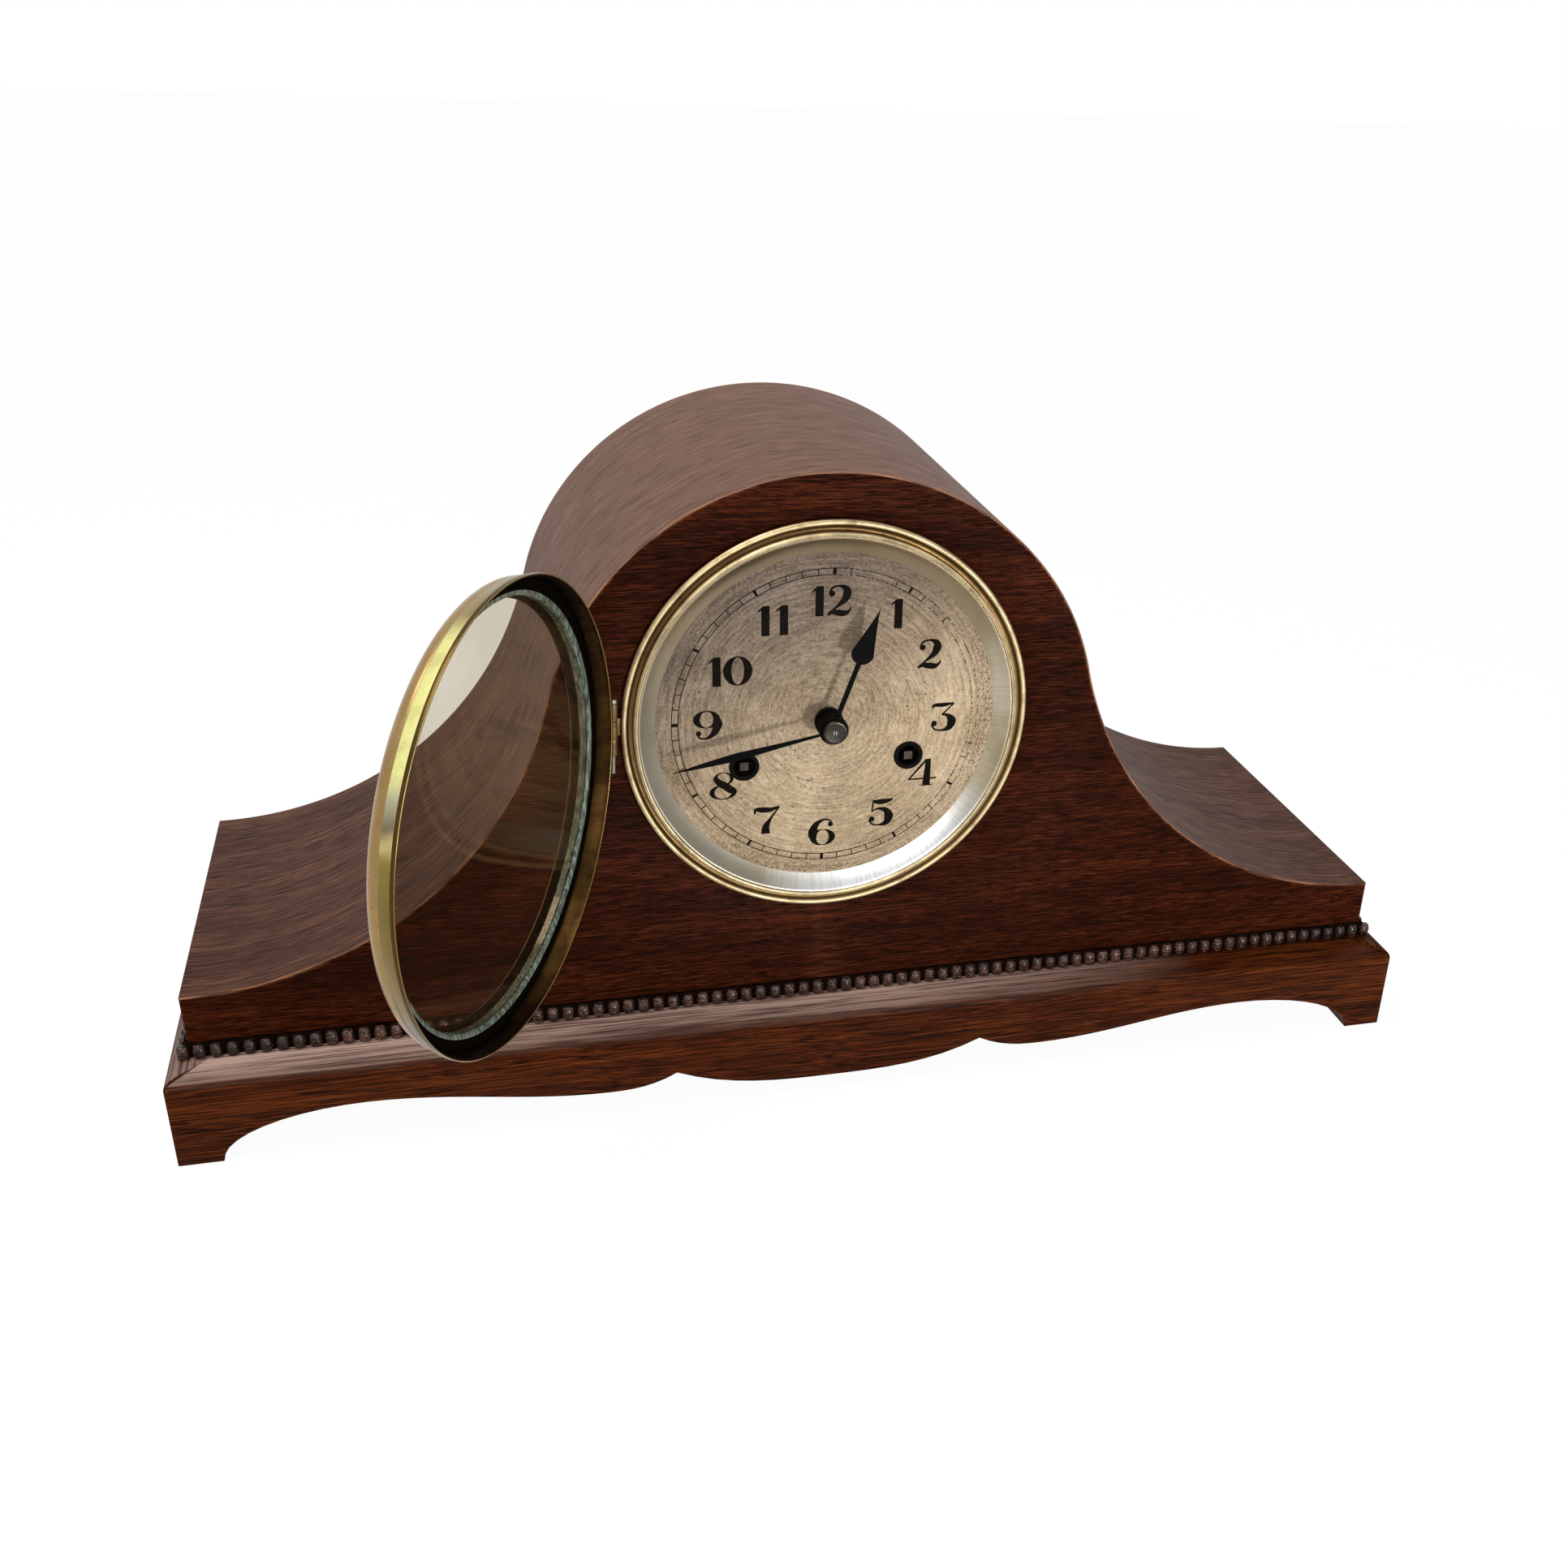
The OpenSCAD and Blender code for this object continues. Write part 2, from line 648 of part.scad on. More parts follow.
module reflector_ring() {
    color("#d8d4c8") placed() turned() polygon([[reflector_r, -dial_depth + 0.05],
        [ridge_in - 0.45, reflector_top], [ridge_in - 0.05, reflector_top],
        [ridge_in - 0.05, reflector_top - reflector_t], [reflector_r + 1.4 * reflector_t,
            -dial_depth + 0.05]]);
}

module dial_plate() {
    color("#c8b890") placed() difference() {
        turned() translate([0, -dial_back]) square([dial_r, dial_t]);
        turned() translate([0, -dial_back - 1]) square([centre_hole_r, dial_t + 2]);
        for (at = [going_at, strike_at]) turned(at) translate([0,
            -dial_back - 1]) square([grommet_r - 0.5, dial_t + 2]);
    }
}

module winding_grommets() {
    tube_r = grommet_r - 0.55;
    color("#181614") placed() for (at = [going_at, strike_at]) turned(at) polygon([[grommet_bore,
        -dial_back - 0.8],
        [tube_r, -dial_back - 0.8], [tube_r, -dial_depth], [grommet_r, -dial_depth], [grommet_r - 0.1,
            -dial_depth + 0.4],
        [grommet_bore + 0.3, -dial_depth + 0.5], [grommet_bore, -dial_depth + 0.2]]);
}

knuckle_gap = 0.1;
hinge_bore = hinge_pin_r + run_clear;

// Turns the hinge, drawn at nine o'clock, to its place on the bezel
module hinge_place() {
    placed() translate([0, 0, dial_z]) rotate([0, hinge_turn, 0]) translate([0, 0, -dial_z]) children();
}

// One hinge knuckle, number i of three from the top
module knuckle(i) {
    translate([-hinge_x, -hinge_h, dial_z + (1 - i) * knuckle_l - knuckle_l / 2 + knuckle_gap / 2])
        cylinder(h = knuckle_l - knuckle_gap, r = knuckle_r, $fn = small_fn);
}

module hinge_hole() {
    translate([-hinge_x, -hinge_h, dial_z - 3 * knuckle_l]) cylinder(h = 6 * knuckle_l, r = hinge_bore,
        $fn = small_fn);
}

module hinge_case_leaf() {
    leaf_t = 0.8;
    color("#8a6a2c") hinge_place() difference() {
        union() {
            knuckle(1);
            translate([-hinge_x - 0.7, -hinge_h, dial_z - knuckle_l / 2 + knuckle_gap / 2])
                cube([1.4, hinge_h, knuckle_l - knuckle_gap]);
            translate([-hinge_x - 1.6, -leaf_t, dial_z - knuckle_l / 2 + knuckle_gap / 2])
                cube([hinge_x + 1.6 - flange_r, leaf_t, knuckle_l - knuckle_gap]);
        }
        hinge_hole();
        turned() translate([0, -1]) square([flange_r + 0.05, 4]);
    }
}

module hinge_pin() {
    head = 1.5;
    stack = 3 * knuckle_l;
    color("#b8b4a8") hinge_place() translate([-hinge_x, -hinge_h, dial_z]) union() {
        translate([0, 0, -stack / 2 - hinge_tail]) cylinder(h = stack + hinge_tail + head,
            r = hinge_pin_r,
            $fn = small_fn);
        translate([0, 0, stack / 2 + knuckle_gap]) cylinder(h = head, r = 1.25, $fn = small_fn);
    }
}

// Turns what is drawn on the closed door to the open door
module on_door() {
    hinge_place() translate([-hinge_x, -hinge_h, 0]) rotate([0, 0, -door_rest])
        translate([hinge_x, hinge_h, 0]) children();
}

module hinge_door_leaf() {
    color("#8a6a2c") on_door() difference() {
        union() for (i = [0, 2]) {
            knuckle(i);
            translate([-hinge_x, -hinge_h - knuckle_r,
                dial_z + (1 - i) * knuckle_l - knuckle_l / 2 + knuckle_gap / 2])
                cube([hinge_x - door_r + 1.8, 1.2, knuckle_l - knuckle_gap]);
        }
        hinge_hole();
        turned() square([door_r + 0.02, door_h]);
    }
}

// Section of the door ring from its back edge to its lip, drawn in by an inset
lip_reach = door_r - door_lean - door_open_r;
function ring_line(inset) = concat(
    [[door_r - inset, door_back_h], [door_r - inset, door_wall_h]],
    [for (a = [0 : 7.5 : 90])
        [door_open_r + (lip_reach - inset) * cos(a),
            door_lip_h + (door_h - door_lip_h - inset) * sin(a)]]);

module door_ring() {
    inner = ring_line(door_t);
    color("#c8a040") on_door() turned()
        polygon(concat(ring_line(0), [for (i = [len(inner) - 1 : -1 : 0]) inner[i]]));
}

// Height of the domed glass's inner face at a distance from its middle
dome_r = (glass_r * glass_r + glass_rise * glass_rise) / (2 * glass_rise);
function dome(r) = glass_h + glass_rise - dome_r + sqrt(dome_r * dome_r - r * r);

module door_glass() {
    steps = 16;
    color([0.7, 0.8, 0.78, 0.35]) on_door() turned() polygon(concat(
        [for (i = [0 : steps]) let (r = glass_r * i / steps) [r, dome(r)]],
        [for (i = [steps : -1 : 0]) let (r = glass_r * i / steps) [r, dome(r) + glass_t]]));
}

module glass_bedding() {
    bed_t = 1.15;
    fit = 0.05;
    color("#141414") on_door() turned() polygon([[glass_r - 1.5, glass_h - fit - bed_t],
        [glass_r + 3.6, glass_h - fit - bed_t], [glass_r + 2.8, glass_h - fit], [glass_r - 1.5,
            glass_h - fit]]);
}

pipe_r = 3.4;
cannon_r = 2.4;
pipe_clear = 0.15;
arbor_front_r = 1.5;
fit_clear = 0.03;
hour_wheel_y = 9.2;
hour_wheel_t = 1.2;
motion_wheel_y = 13.4;
pinion_y = 12.8;
pipe_back = 12.4;
cannon_back = 15.4;

module hour_hand() {
    shaft = 0.9;
    neck_r = cannon_r + 2;
    boss_edge = 0.3;
    boss_h0 = 0.2;
    boss_h1 = 1.7;
    color("#161412") placed() difference() {
        union() {
            dial_slab(-hour_h - hand_t, -hour_h) rotate(-hour_angle) union() {
                polygon([[-shaft, 0], [shaft, 0], [shaft, drop_at], [-shaft, drop_at]]);
                circle(cannon_r + 2.2, $fn = small_fn);
                translate([0, drop_at]) circle(drop_r, $fn = small_fn);
                polygon(concat([for (i = [0 : 6]) let (t = i / 6)
                    [drop_r * pow(1 - t, 1.35), drop_at + (hour_l - drop_at) * t]],
                    [for (i = [5 : -1 : 0]) let (t = i / 6)
                    [-drop_r * pow(1 - t, 1.35), drop_at + (hour_l - drop_at) * t]]));
            }
            turned() polygon([[pipe_r, boss_h0], [boss_r - boss_edge, boss_h0], [boss_r,
                boss_h0 + boss_edge],
                [boss_r, boss_h1 - boss_edge], [boss_r - boss_edge, boss_h1], [neck_r, boss_h1],
                [neck_r, hour_h + hand_t / 2], [pipe_r, hour_h + hand_t / 2]]);
        }
        turned() square([pipe_r + fit_clear, hour_h + hand_t + 1]);
    }
}

module hour_wheel() {
    phase = mesh_phase(motion_at, centre, hour_pinion_n, hour_wheel_n, 0);
    color("#b8923c") placed() difference() {
        union() {
            dial_slab(hour_wheel_y, hour_wheel_y + hour_wheel_t) polygon(teeth(hour_m, hour_wheel_n,
                phase));
            turned() translate([0, -pipe_back]) square([pipe_r, pipe_back + hour_h + hand_t]);
        }
        turned() translate([0, -pipe_back - 1]) square([cannon_r + pipe_clear,
            pipe_back + hour_h + hand_t + 2]);
    }
}

module minute_hand() {
    root = 0.45;
    wide_at = 33;
    tip_bulge = 0.62;
    collet_h = 1.3;
    color("#161412") placed() difference() {
        union() {
            dial_slab(-minute_h - hand_t, -minute_h) rotate(-minute_angle) union() {
                polygon([[-root, 0], [root, 0], [minute_w / 2, wide_at],
                    [minute_w / 2 * tip_bulge, wide_at + (minute_l - wide_at) / 2], [0.08, minute_l],
                        [-0.08, minute_l],
                    [-minute_w / 2 * tip_bulge, wide_at + (minute_l - wide_at) / 2], [-minute_w / 2,
                        wide_at]]);
                circle(nut_r + 0.3, $fn = small_fn);
            }
            turned() translate([0, minute_h - collet_h]) square([nut_r + 0.9, collet_h + 0.1]);
        }
        turned() translate([0, minute_h - 3]) square([arbor_front_r + fit_clear, 6]);
    }
}

module hand_nut() {
    color("#5c5a55") placed() turned() polygon([[arbor_front_r + fit_clear, minute_h + hand_t], [nut_r,
        minute_h + hand_t],
        [nut_r, minute_h + 1.6], [nut_r - 0.3, minute_h + 1.9], [arbor_front_r + fit_clear,
            minute_h + 1.9]]);
}

module cannon_pinion() {
    color("#8c8a84") placed() difference() {
        union() {
            dial_slab(pinion_y, cannon_back) polygon(teeth(motion_m, leaf_n, 0));
            turned() translate([0, -cannon_back]) square([cannon_r, cannon_back + minute_h - 1.35]);
        }
        turned() translate([0, -cannon_back - 1]) square([arbor_front_r + fit_clear,
            cannon_back + minute_h + 3]);
    }
}

// A wheel with four crossings
module spoked(m, n, phase, hub_r, spokes = 4) {
    rim = m * n / 2 - m - 1.6;
    spoke_w = 1.8;
    difference() {
        polygon(teeth(m, n, phase));
        if (rim > hub_r + 2) difference() {
            circle(rim, $fn = small_fn * 2);
            circle(hub_r, $fn = small_fn);
            for (i = [0 : spokes / 2 - 1]) rotate(45 + 360 * i / spokes) translate([-rim - 1,
                -spoke_w / 2])
                square([2 * rim + 2, spoke_w]);
        }
    }
}

// An arbor between the plates with its two pivots
module arbor(at) {
    rod(at, plate_in + shake, back_plate_y - shake, arbor_r);
    rod(at, front_plate_y + shake, plate_end - shake, pivot_r);
}

// A spoked wheel and a pinion on one arbor
module wheel_and_pinion(at, wheel_m, wheel_n, wheel_phase, wheel_y, wheel_t,
    pinion_m, leaves, leaf_phase, leaf_y) {
    union() {
        arbor(at);
        dial_slab(wheel_y, wheel_y + wheel_t) translate(at) spoked(wheel_m, wheel_n, wheel_phase, 2.6);
        dial_slab(leaf_y[0], leaf_y[1]) translate(at) polygon(teeth(pinion_m, leaves, leaf_phase));
    }
}

module centre_arbor() {
    color("#b8923c") placed() union() {
        rod(centre, plate_in + shake, back_plate_y - shake, 1.6);
        rod(centre, back_plate_y - 1, plate_end - shake, pivot_r);
        rod(centre, -minute_h - 1.7, plate_in + 1, arbor_front_r);
        dial_slab(inter_y - leaf_over, inter_y + inter_t + leaf_over) polygon(teeth(great_m, leaf_n, 0));
        dial_slab(centre_wheel_y, centre_wheel_y + train_t) spoked(train_m, train_n, 0, 3);
    }
}

module minute_wheel() {
    color("#b8923c") placed() difference() {
        union() {
            dial_slab(motion_wheel_y, motion_wheel_y + 1.2) translate(motion_at)
                spoked(motion_m, motion_wheel_n, mesh_phase(centre, motion_at, leaf_n, motion_wheel_n,
                    0), 3);
            dial_slab(8, motion_wheel_y + 0.5) translate(motion_at) polygon(teeth(hour_m,
                hour_pinion_n, 0));
        }
        rod(motion_at, 0, front_plate_y, 1 + run_clear);
    }
}

module second_wheel() {
    color("#b8923c") placed() wheel_and_pinion(second_at,
        great_m, inter_n, mesh_phase(centre, second_at, leaf_n, inter_n, 0), inter_y, inter_t,
        great_m, great_leaf_n, mesh_phase(going_at, second_at, great_n, great_leaf_n, 0), great_leaf_y);
}

module third_wheel() {
    color("#b8923c") placed() wheel_and_pinion(third_at, fine_m, third_n, 0, third_y, fine_t,
        train_m, leaf_n, mesh_phase(centre, third_at, train_n, leaf_n, 0), leaf_layer(centre_wheel_y,
            train_t));
}

module fourth_wheel() {
    color("#b8923c") placed() wheel_and_pinion(fourth_at, fine_m, train_n, 0, fourth_y, fine_t,
        fine_m, leaf_n, mesh_phase(third_at, fourth_at, third_n, leaf_n, 0), leaf_layer(third_y, fine_t));
}

// Saw teeth of the escape wheel and the click wheels
function saw_teeth(n, root_r, tip_r) = [for (i = [0 : n - 1]) let (a = 360 * i / n)
    each [[root_r * cos(a), root_r * sin(a)], [tip_r * cos(a + 50 / n), tip_r * sin(a + 50 / n)],
        [tip_r * cos(a + 80 / n), tip_r * sin(a + 80 / n)]]];

module escape_wheel() {
    color("#b8923c") placed() union() {
        arbor(escape_at);
        dial_slab(escape_y, escape_y + escape_t) translate(escape_at) difference() {
            polygon(saw_teeth(escape_teeth, escape_r - 1.3, escape_r));
            difference() {
                circle(escape_r - 2.6, $fn = small_fn);
                circle(2.2, $fn = small_fn);
                for (a = [0, 90]) rotate(a) square([2 * escape_r, 1.2], center = true);
            }
        }
        dial_slab(fourth_y - leaf_over, fourth_y + fine_t + leaf_over) translate(escape_at)
            polygon(teeth(fine_m, leaf_n, mesh_phase(fourth_at, escape_at, train_n, leaf_n, 0)));
    }
}

cock_y = 64.5;
cock_t = 2;
crutch_y = 60;
crutch_l = 40;
crutch_t = 1.2;

module anchor() {
    reach = (escape_r + pallet_gap) / sqrt(2);
    pallet_z = reach - anchor_up;
    color("#8c8a84") placed() union() {
        rod(anchor_at, plate_in + shake, cock_y - shake, arbor_r);
        rod(anchor_at, front_plate_y + shake, cock_y + cock_t - shake, pivot_r);
        dial_slab(escape_y - 1, escape_y + escape_t + 1) translate(anchor_at) union() {
            circle(2.2, $fn = small_fn);
            for (s = [-1, 1]) polygon([[0, 1.2], [s * (reach + 1.4), pallet_z + 2.6],
                [s * (reach + 1.4), pallet_z],
                [s * reach, pallet_z], [s * (reach - 1.2), pallet_z + 1.6], [0, -1.2]]);
        }
        dial_slab(crutch_y, crutch_y + crutch_t) translate(anchor_at) union() {
            circle(2.2, $fn = small_fn);
            translate([-1, -crutch_l]) square([2, crutch_l]);
        }
        for (s = [-1, 1]) dial_slab(crutch_y, pendulum_y + 2) translate(anchor_at)
            translate([s * (rod_r + 0.9) - 0.6, -crutch_l - 2]) square([1.2, 2.5]);
        dial_slab(crutch_y, crutch_y + crutch_t) translate(anchor_at)
            translate([-rod_r - 1.5, -crutch_l - 2]) square([2 * rod_r + 3, 2.5]);
    }
}

// A toothed spring barrel with its coiled spring held inside
module barrel(at, phase) {
    wall = 1.2;
    cap_y = barrel_end - wall;
    difference() {
        union() {
            dial_slab(great_y, great_y + great_t) translate(at) polygon(teeth(great_m, great_n, phase));
            rod_big(at, great_y, barrel_end, barrel_r);
        }
        rod_big(at, great_y + great_t, cap_y, barrel_in_r);
        rod(at, great_y - 1, barrel_end + 1, wind_r + run_clear);
    }
}

module rod_big(at, y0, y1, r) {
    translate([at[0], y1, dial_z + at[1]]) rotate([90, 0, 0]) cylinder(h = y1 - y0, r = r,
        $fn = round_fn);
}

// The coiled spring, a spiral strip wound against the barrel's wall
module mainspring(at) {
    coil_in = 13;
    turns = 7;
    strip = 0.45;
    coil_out = barrel_in_r - 0.4;
    steps = 16 * turns;
    function lane(i, off) = let (r = coil_in + (coil_out - strip - coil_in) * i / steps + off)
        [r * cos(22.5 * i), r * sin(22.5 * i)];
    dial_slab(great_y + great_t + 1, barrel_end - 2.4) translate(at) polygon(concat(
        [for (i = [0 : steps]) lane(i, strip)], [for (i = [steps : -1 : 0]) lane(i, 0)]));
}

module going_barrel() {
    color("#b8923c") placed() {
        barrel(going_at, 0);
        mainspring(going_at);
    }
}

module strike_barrel() {
    color("#b8923c") placed() {
        barrel(strike_at, 0);
        mainspring(strike_at);
    }
}

ratchet_y = 13;
ratchet_t = 1.8;
ratchet_n = 16;

// A winding arbor with its square end, click wheel and spring core
module winding_arbor(at) {
    union() {
        rod(at, front_plate_y + shake, plate_end - shake, wind_r - 0.5);
        rod(at, plate_in + shake, back_plate_y - shake, wind_r);
        rod(at, great_y + great_t + 1, barrel_end - 2.4, 7);
        dial_slab(ratchet_y, ratchet_y + ratchet_t) translate(at)
            polygon(saw_teeth(ratchet_n, click_wheel_r - 1.4, click_wheel_r));
        dial_slab(dial_depth, ratchet_y + 1) translate(at) square([square_side, square_side],
            center = true);
        rod(at, ratchet_y, plate_in, wind_r - 0.5);
    }
}

module going_arbor() {
    color("#a8a6a0") placed() winding_arbor(going_at);
}

module strike_arbor() {
    color("#a8a6a0") placed() winding_arbor(strike_at);
}

click_gap = 0.3;
click_stud_r = 0.9;
click_eye_r = 2.4;

// A click lever on its stud beside a click wheel, on side s
module click(at, s) {
    tip = [at[0], at[1] - click_wheel_r - click_gap];
    stud = [at[0] + s * stud_x, at[1] - stud_drop];
    dial_slab(ratchet_y, ratchet_y + ratchet_t) difference() {
        polygon(concat([tip],
            [for (a = [120 : -10 : -130])
                [stud[0] + s * click_eye_r * cos(a), stud[1] + click_eye_r * sin(a)]],
            [[tip[0], tip[1] - 1.4]]));
        translate(stud) circle(click_stud_r + run_clear, $fn = small_fn);
    }
}

module going_click() {
    color("#8c8a84") placed() click(going_at, 1);
}

module strike_click() {
    color("#8c8a84") placed() click(strike_at, -1);
}

module strike_second_wheel() {
    color("#b8923c") placed() wheel_and_pinion(strike_second_at, train_m, train_n, 0, inter_y, inter_t,
        great_m, great_leaf_n, mesh_phase(strike_at, strike_second_at, great_n, great_leaf_n, 0),
            great_leaf_y);
}

module strike_pin_wheel() {
    color("#b8923c") placed() union() {
        wheel_and_pinion(pin_at, strike_m, train_n, 0, pin_wheel_y, train_t,
            train_m, leaf_n, mesh_phase(strike_second_at, pin_at, train_n, leaf_n, 0),
                leaf_layer(inter_y, inter_t));
        for (i = [0 : 7]) rod(along(pin_at, pin_circle_r, 45 * i + 20), pin_y, pin_wheel_y + 0.5, pin_r);
    }
}

module strike_fourth_wheel() {
    color("#b8923c") placed() wheel_and_pinion(strike_fourth_at, last_m, train_n, 0, strike_fourth_y,
        strike_fourth_t,
        strike_m, leaf_n, mesh_phase(pin_at, strike_fourth_at, train_n, leaf_n, 0),
            leaf_layer(pin_wheel_y, train_t));
}

module warning_wheel() {
    color("#b8923c") placed() wheel_and_pinion(warning_at, last_m, warn_n, 0, warning_y, warning_t,
        last_m, leaf_n, mesh_phase(strike_fourth_at, warning_at, train_n, leaf_n, 0),
        leaf_layer(strike_fourth_y, strike_fourth_t));
}

module fly() {
    vane_w = 15;
    vane_t = 0.5;
    color("#b8923c") placed() union() {
        arbor(fly_at);
        dial_slab(warning_y - leaf_over, warning_y + warning_t + leaf_over) translate(fly_at)
            polygon(teeth(last_m, leaf_n, mesh_phase(warning_at, fly_at, warn_n, leaf_n, 0)));
        dial_slab(vane_y[0], vane_y[1]) translate(fly_at) square([vane_w, vane_t], center = true);
    }
}

hammer_x = -100;
hammer_r = 4;
pad_t = 1.5;
hammer_y = 62;
wire_r = 1;

module hammer() {
    tail = 11;
    head_z = gong_z + gong_r + 1 + pad_t + hammer_r;
    head_y0 = gong_y - 4;
    head_y1 = gong_y + (gong_n - 1) * gong_pitch + 4;
    pivot = [hammer_at[0], dial_z + hammer_at[1]];
    drop = sqrt(pow(hammer_x - pivot[0], 2) + pow(head_z - pivot[1], 2));
    tilt = atan2(hammer_x - pivot[0], head_z - pivot[1]);
    color("#9a9890") placed() union() {
        rod(hammer_at, plate_in + shake, hammer_y + 2, 1.5);
        rod(hammer_at, front_plate_y + shake, plate_in + 1, pivot_r);
        dial_slab(pin_y + 0.2, pin_wheel_y - 0.3) translate(hammer_at) rotate(-30) translate([0,
            -1]) square([tail, 2]);
        translate([pivot[0], hammer_y, pivot[1]]) rotate([0, tilt, 0]) cylinder(h = drop, r = wire_r,
            $fn = small_fn);
        translate([hammer_x, hammer_y - wire_r, head_z]) rotate([-90, 0, 0])
            cylinder(h = head_y0 - hammer_y + wire_r + 1, r = wire_r, $fn = small_fn);
        translate([hammer_x, head_y0, head_z]) rotate([-90, 0, 0])
            cylinder(h = head_y1 - head_y0, r = hammer_r, $fn = small_fn);
        translate([hammer_x - 2, head_y0 + 1, head_z - hammer_r - pad_t])
            cube([4, head_y1 - head_y0 - 2, hammer_r + pad_t]);
    }
}

train_places = [second_at, third_at, fourth_at, escape_at, strike_second_at, pin_at, strike_fourth_at,
    warning_at, fly_at];

// Outline of a movement plate
module plate_shape() {
    top_hw = 30;
    chamfer = 14;
    polygon([[-plate_hw, -plate_down], [plate_hw, -plate_down], [plate_hw, plate_up - chamfer],
        [top_hw, plate_up],
        [-top_hw, plate_up], [-plate_hw, plate_up - chamfer]]);
}

module movement_front_plate() {
    stud_r = 1;
    color("#b8923c") placed() union() {
        difference() {
            dial_slab(front_plate_y, plate_in) plate_shape();
            for (at = concat(train_places, [anchor_at, hammer_at]))
                rod(at, front_plate_y - 1, plate_in + 1, pivot_r + run_clear);
            for (at = [going_at, strike_at]) rod(at, front_plate_y - 1, plate_in + 1,
                wind_r - 0.5 + run_clear);
            for (at = pillar_places) rod(at, front_plate_y - 1, plate_in + 1, 1.5 + fit_clear);
            for (x = [-strap_plate_x, strap_plate_x], z = [-strap_z, strap_z])
                rod([x, z], front_plate_y - 1, plate_in + 1, screw_r + fit_clear);
            rod(centre, front_plate_y - 1, plate_in + 1, arbor_front_r + run_clear);
        }
        rod(motion_at, 7.6, front_plate_y + 1, stud_r);
        for (s = [-1, 1]) rod([s * (wind_x + stud_x), -wind_drop - stud_drop], ratchet_y - 0.4,
            front_plate_y + 1,
            click_stud_r);
    }
}

module movement_back_plate() {
    color("#b8923c") placed() difference() {
        dial_slab(back_plate_y, plate_end) plate_shape();
        for (at = concat(train_places, [centre])) rod(at, back_plate_y - 1, plate_end + 1,
            pivot_r + run_clear);
        for (at = [going_at, strike_at]) rod(at, back_plate_y - 1, plate_end + 1,
            wind_r - 0.5 + run_clear);
        for (at = pillar_places) rod(at, back_plate_y - 1, plate_end + 1, 1.5 + fit_clear);
        rod(anchor_at, back_plate_y - 1, plate_end + 1, arbor_r + 1);
        rod(hammer_at, back_plate_y - 1, plate_end + 1, 1.5 + run_clear);
        for (s = [-1, 1]) rod([s * 14, anchor_at[1]], back_plate_y - 1, plate_end + 1, 1 + fit_clear);
    }
}

module pillars() {
    color("#b8923c") placed() for (at = pillar_places) union() {
        rod(at, plate_in, back_plate_y, pillar_r);
        rod(at, front_plate_y, plate_end + 3, 1.5);
    }
}

module pillar_nuts() {
    color("#9a9890") placed() for (at = pillar_places) difference() {
        translate([at[0], plate_end + 2.2, dial_z + at[1]]) rotate([90, 0, 0]) cylinder(h = 2.2,
            r = 3.4, $fn = 6);
        rod(at, plate_end - 1, plate_end + 4, 1.5 + fit_clear);
    }
}

module movement_straps() {
    strap_w = 9;
    riser_x = plate_hw + 1;
    foot_end = strap_foot_x + 5;
    plate_end_x = strap_plate_x - 5;
    color("#9a7a34") placed() for (s = [0, 1], z = [-strap_z, strap_z]) mirror([s, 0, 0])
        translate([0, 0, dial_z + z - strap_w / 2]) difference() {
            union() {
                translate([riser_x, front_t, 0]) cube([foot_end - riser_x, strap_t, strap_w]);
                translate([riser_x, front_t, 0]) cube([strap_t, front_plate_y - front_t, strap_w]);
                translate([plate_end_x, front_plate_y - strap_t,
                    0]) cube([riser_x + strap_t - plate_end_x, strap_t,
                    strap_w]);
            }
            translate([strap_foot_x, front_t - 1, strap_w / 2]) rotate([-90, 0, 0])
                cylinder(h = strap_t + 2, r = screw_r + fit_clear, $fn = small_fn);
            translate([strap_plate_x, front_plate_y - strap_t - 1, strap_w / 2]) rotate([-90, 0, 0])
                cylinder(h = strap_t + 2, r = screw_r + fit_clear, $fn = small_fn);
        }
}

module strap_screws() {
    head_r = 2.8;
    head_t = 1.6;
    color("#9a9890") placed() for (x = [-1, 1], z = [-strap_z, strap_z]) {
        union() {
            rod([x * strap_foot_x, z], front_t - 4.8, front_t + strap_t + 1, screw_r);
            rod([x * strap_foot_x, z], front_t + strap_t, front_t + strap_t + head_t, head_r);
        }
        union() {
            rod([x * strap_plate_x, z], front_plate_y - strap_t - 1, plate_in, screw_r);
            rod([x * strap_plate_x, z], front_plate_y - strap_t - head_t, front_plate_y - strap_t,
                head_r);
        }
    }
}

suspend_up = 8;
suspend_t = 0.3;

module back_cock() {
    cock_hw = 17;
    color("#b8923c") placed() union() {
        difference() {
            union() {
                dial_slab(cock_y, cock_y + cock_t) translate([-cock_hw,
                    anchor_at[1] - 4]) square([2 * cock_hw, 8 + 2]);
                for (s = [-1, 1]) rod([s * 14, anchor_at[1]], plate_end, cock_y + 1, 2.6);
                for (s = [-1, 1]) rod([s * 14, anchor_at[1]], back_plate_y, plate_end + 1, 1);
                dial_slab(cock_y, cock_y + cock_t) translate([-3, anchor_at[1]]) square([6,
                    suspend_up + 3]);
            }
            rod(anchor_at, cock_y - 1, cock_y + cock_t + 1, pivot_r + run_clear);
        }
        dial_slab(cock_y + 1, pendulum_y + 1.5) translate([-2.5,
            anchor_at[1] + suspend_up - 2]) square([5, 4]);
        translate([-2, pendulum_y - suspend_t / 2, dial_z + anchor_at[1] + 0.3])
            cube([4, suspend_t, suspend_up]);
    }
}

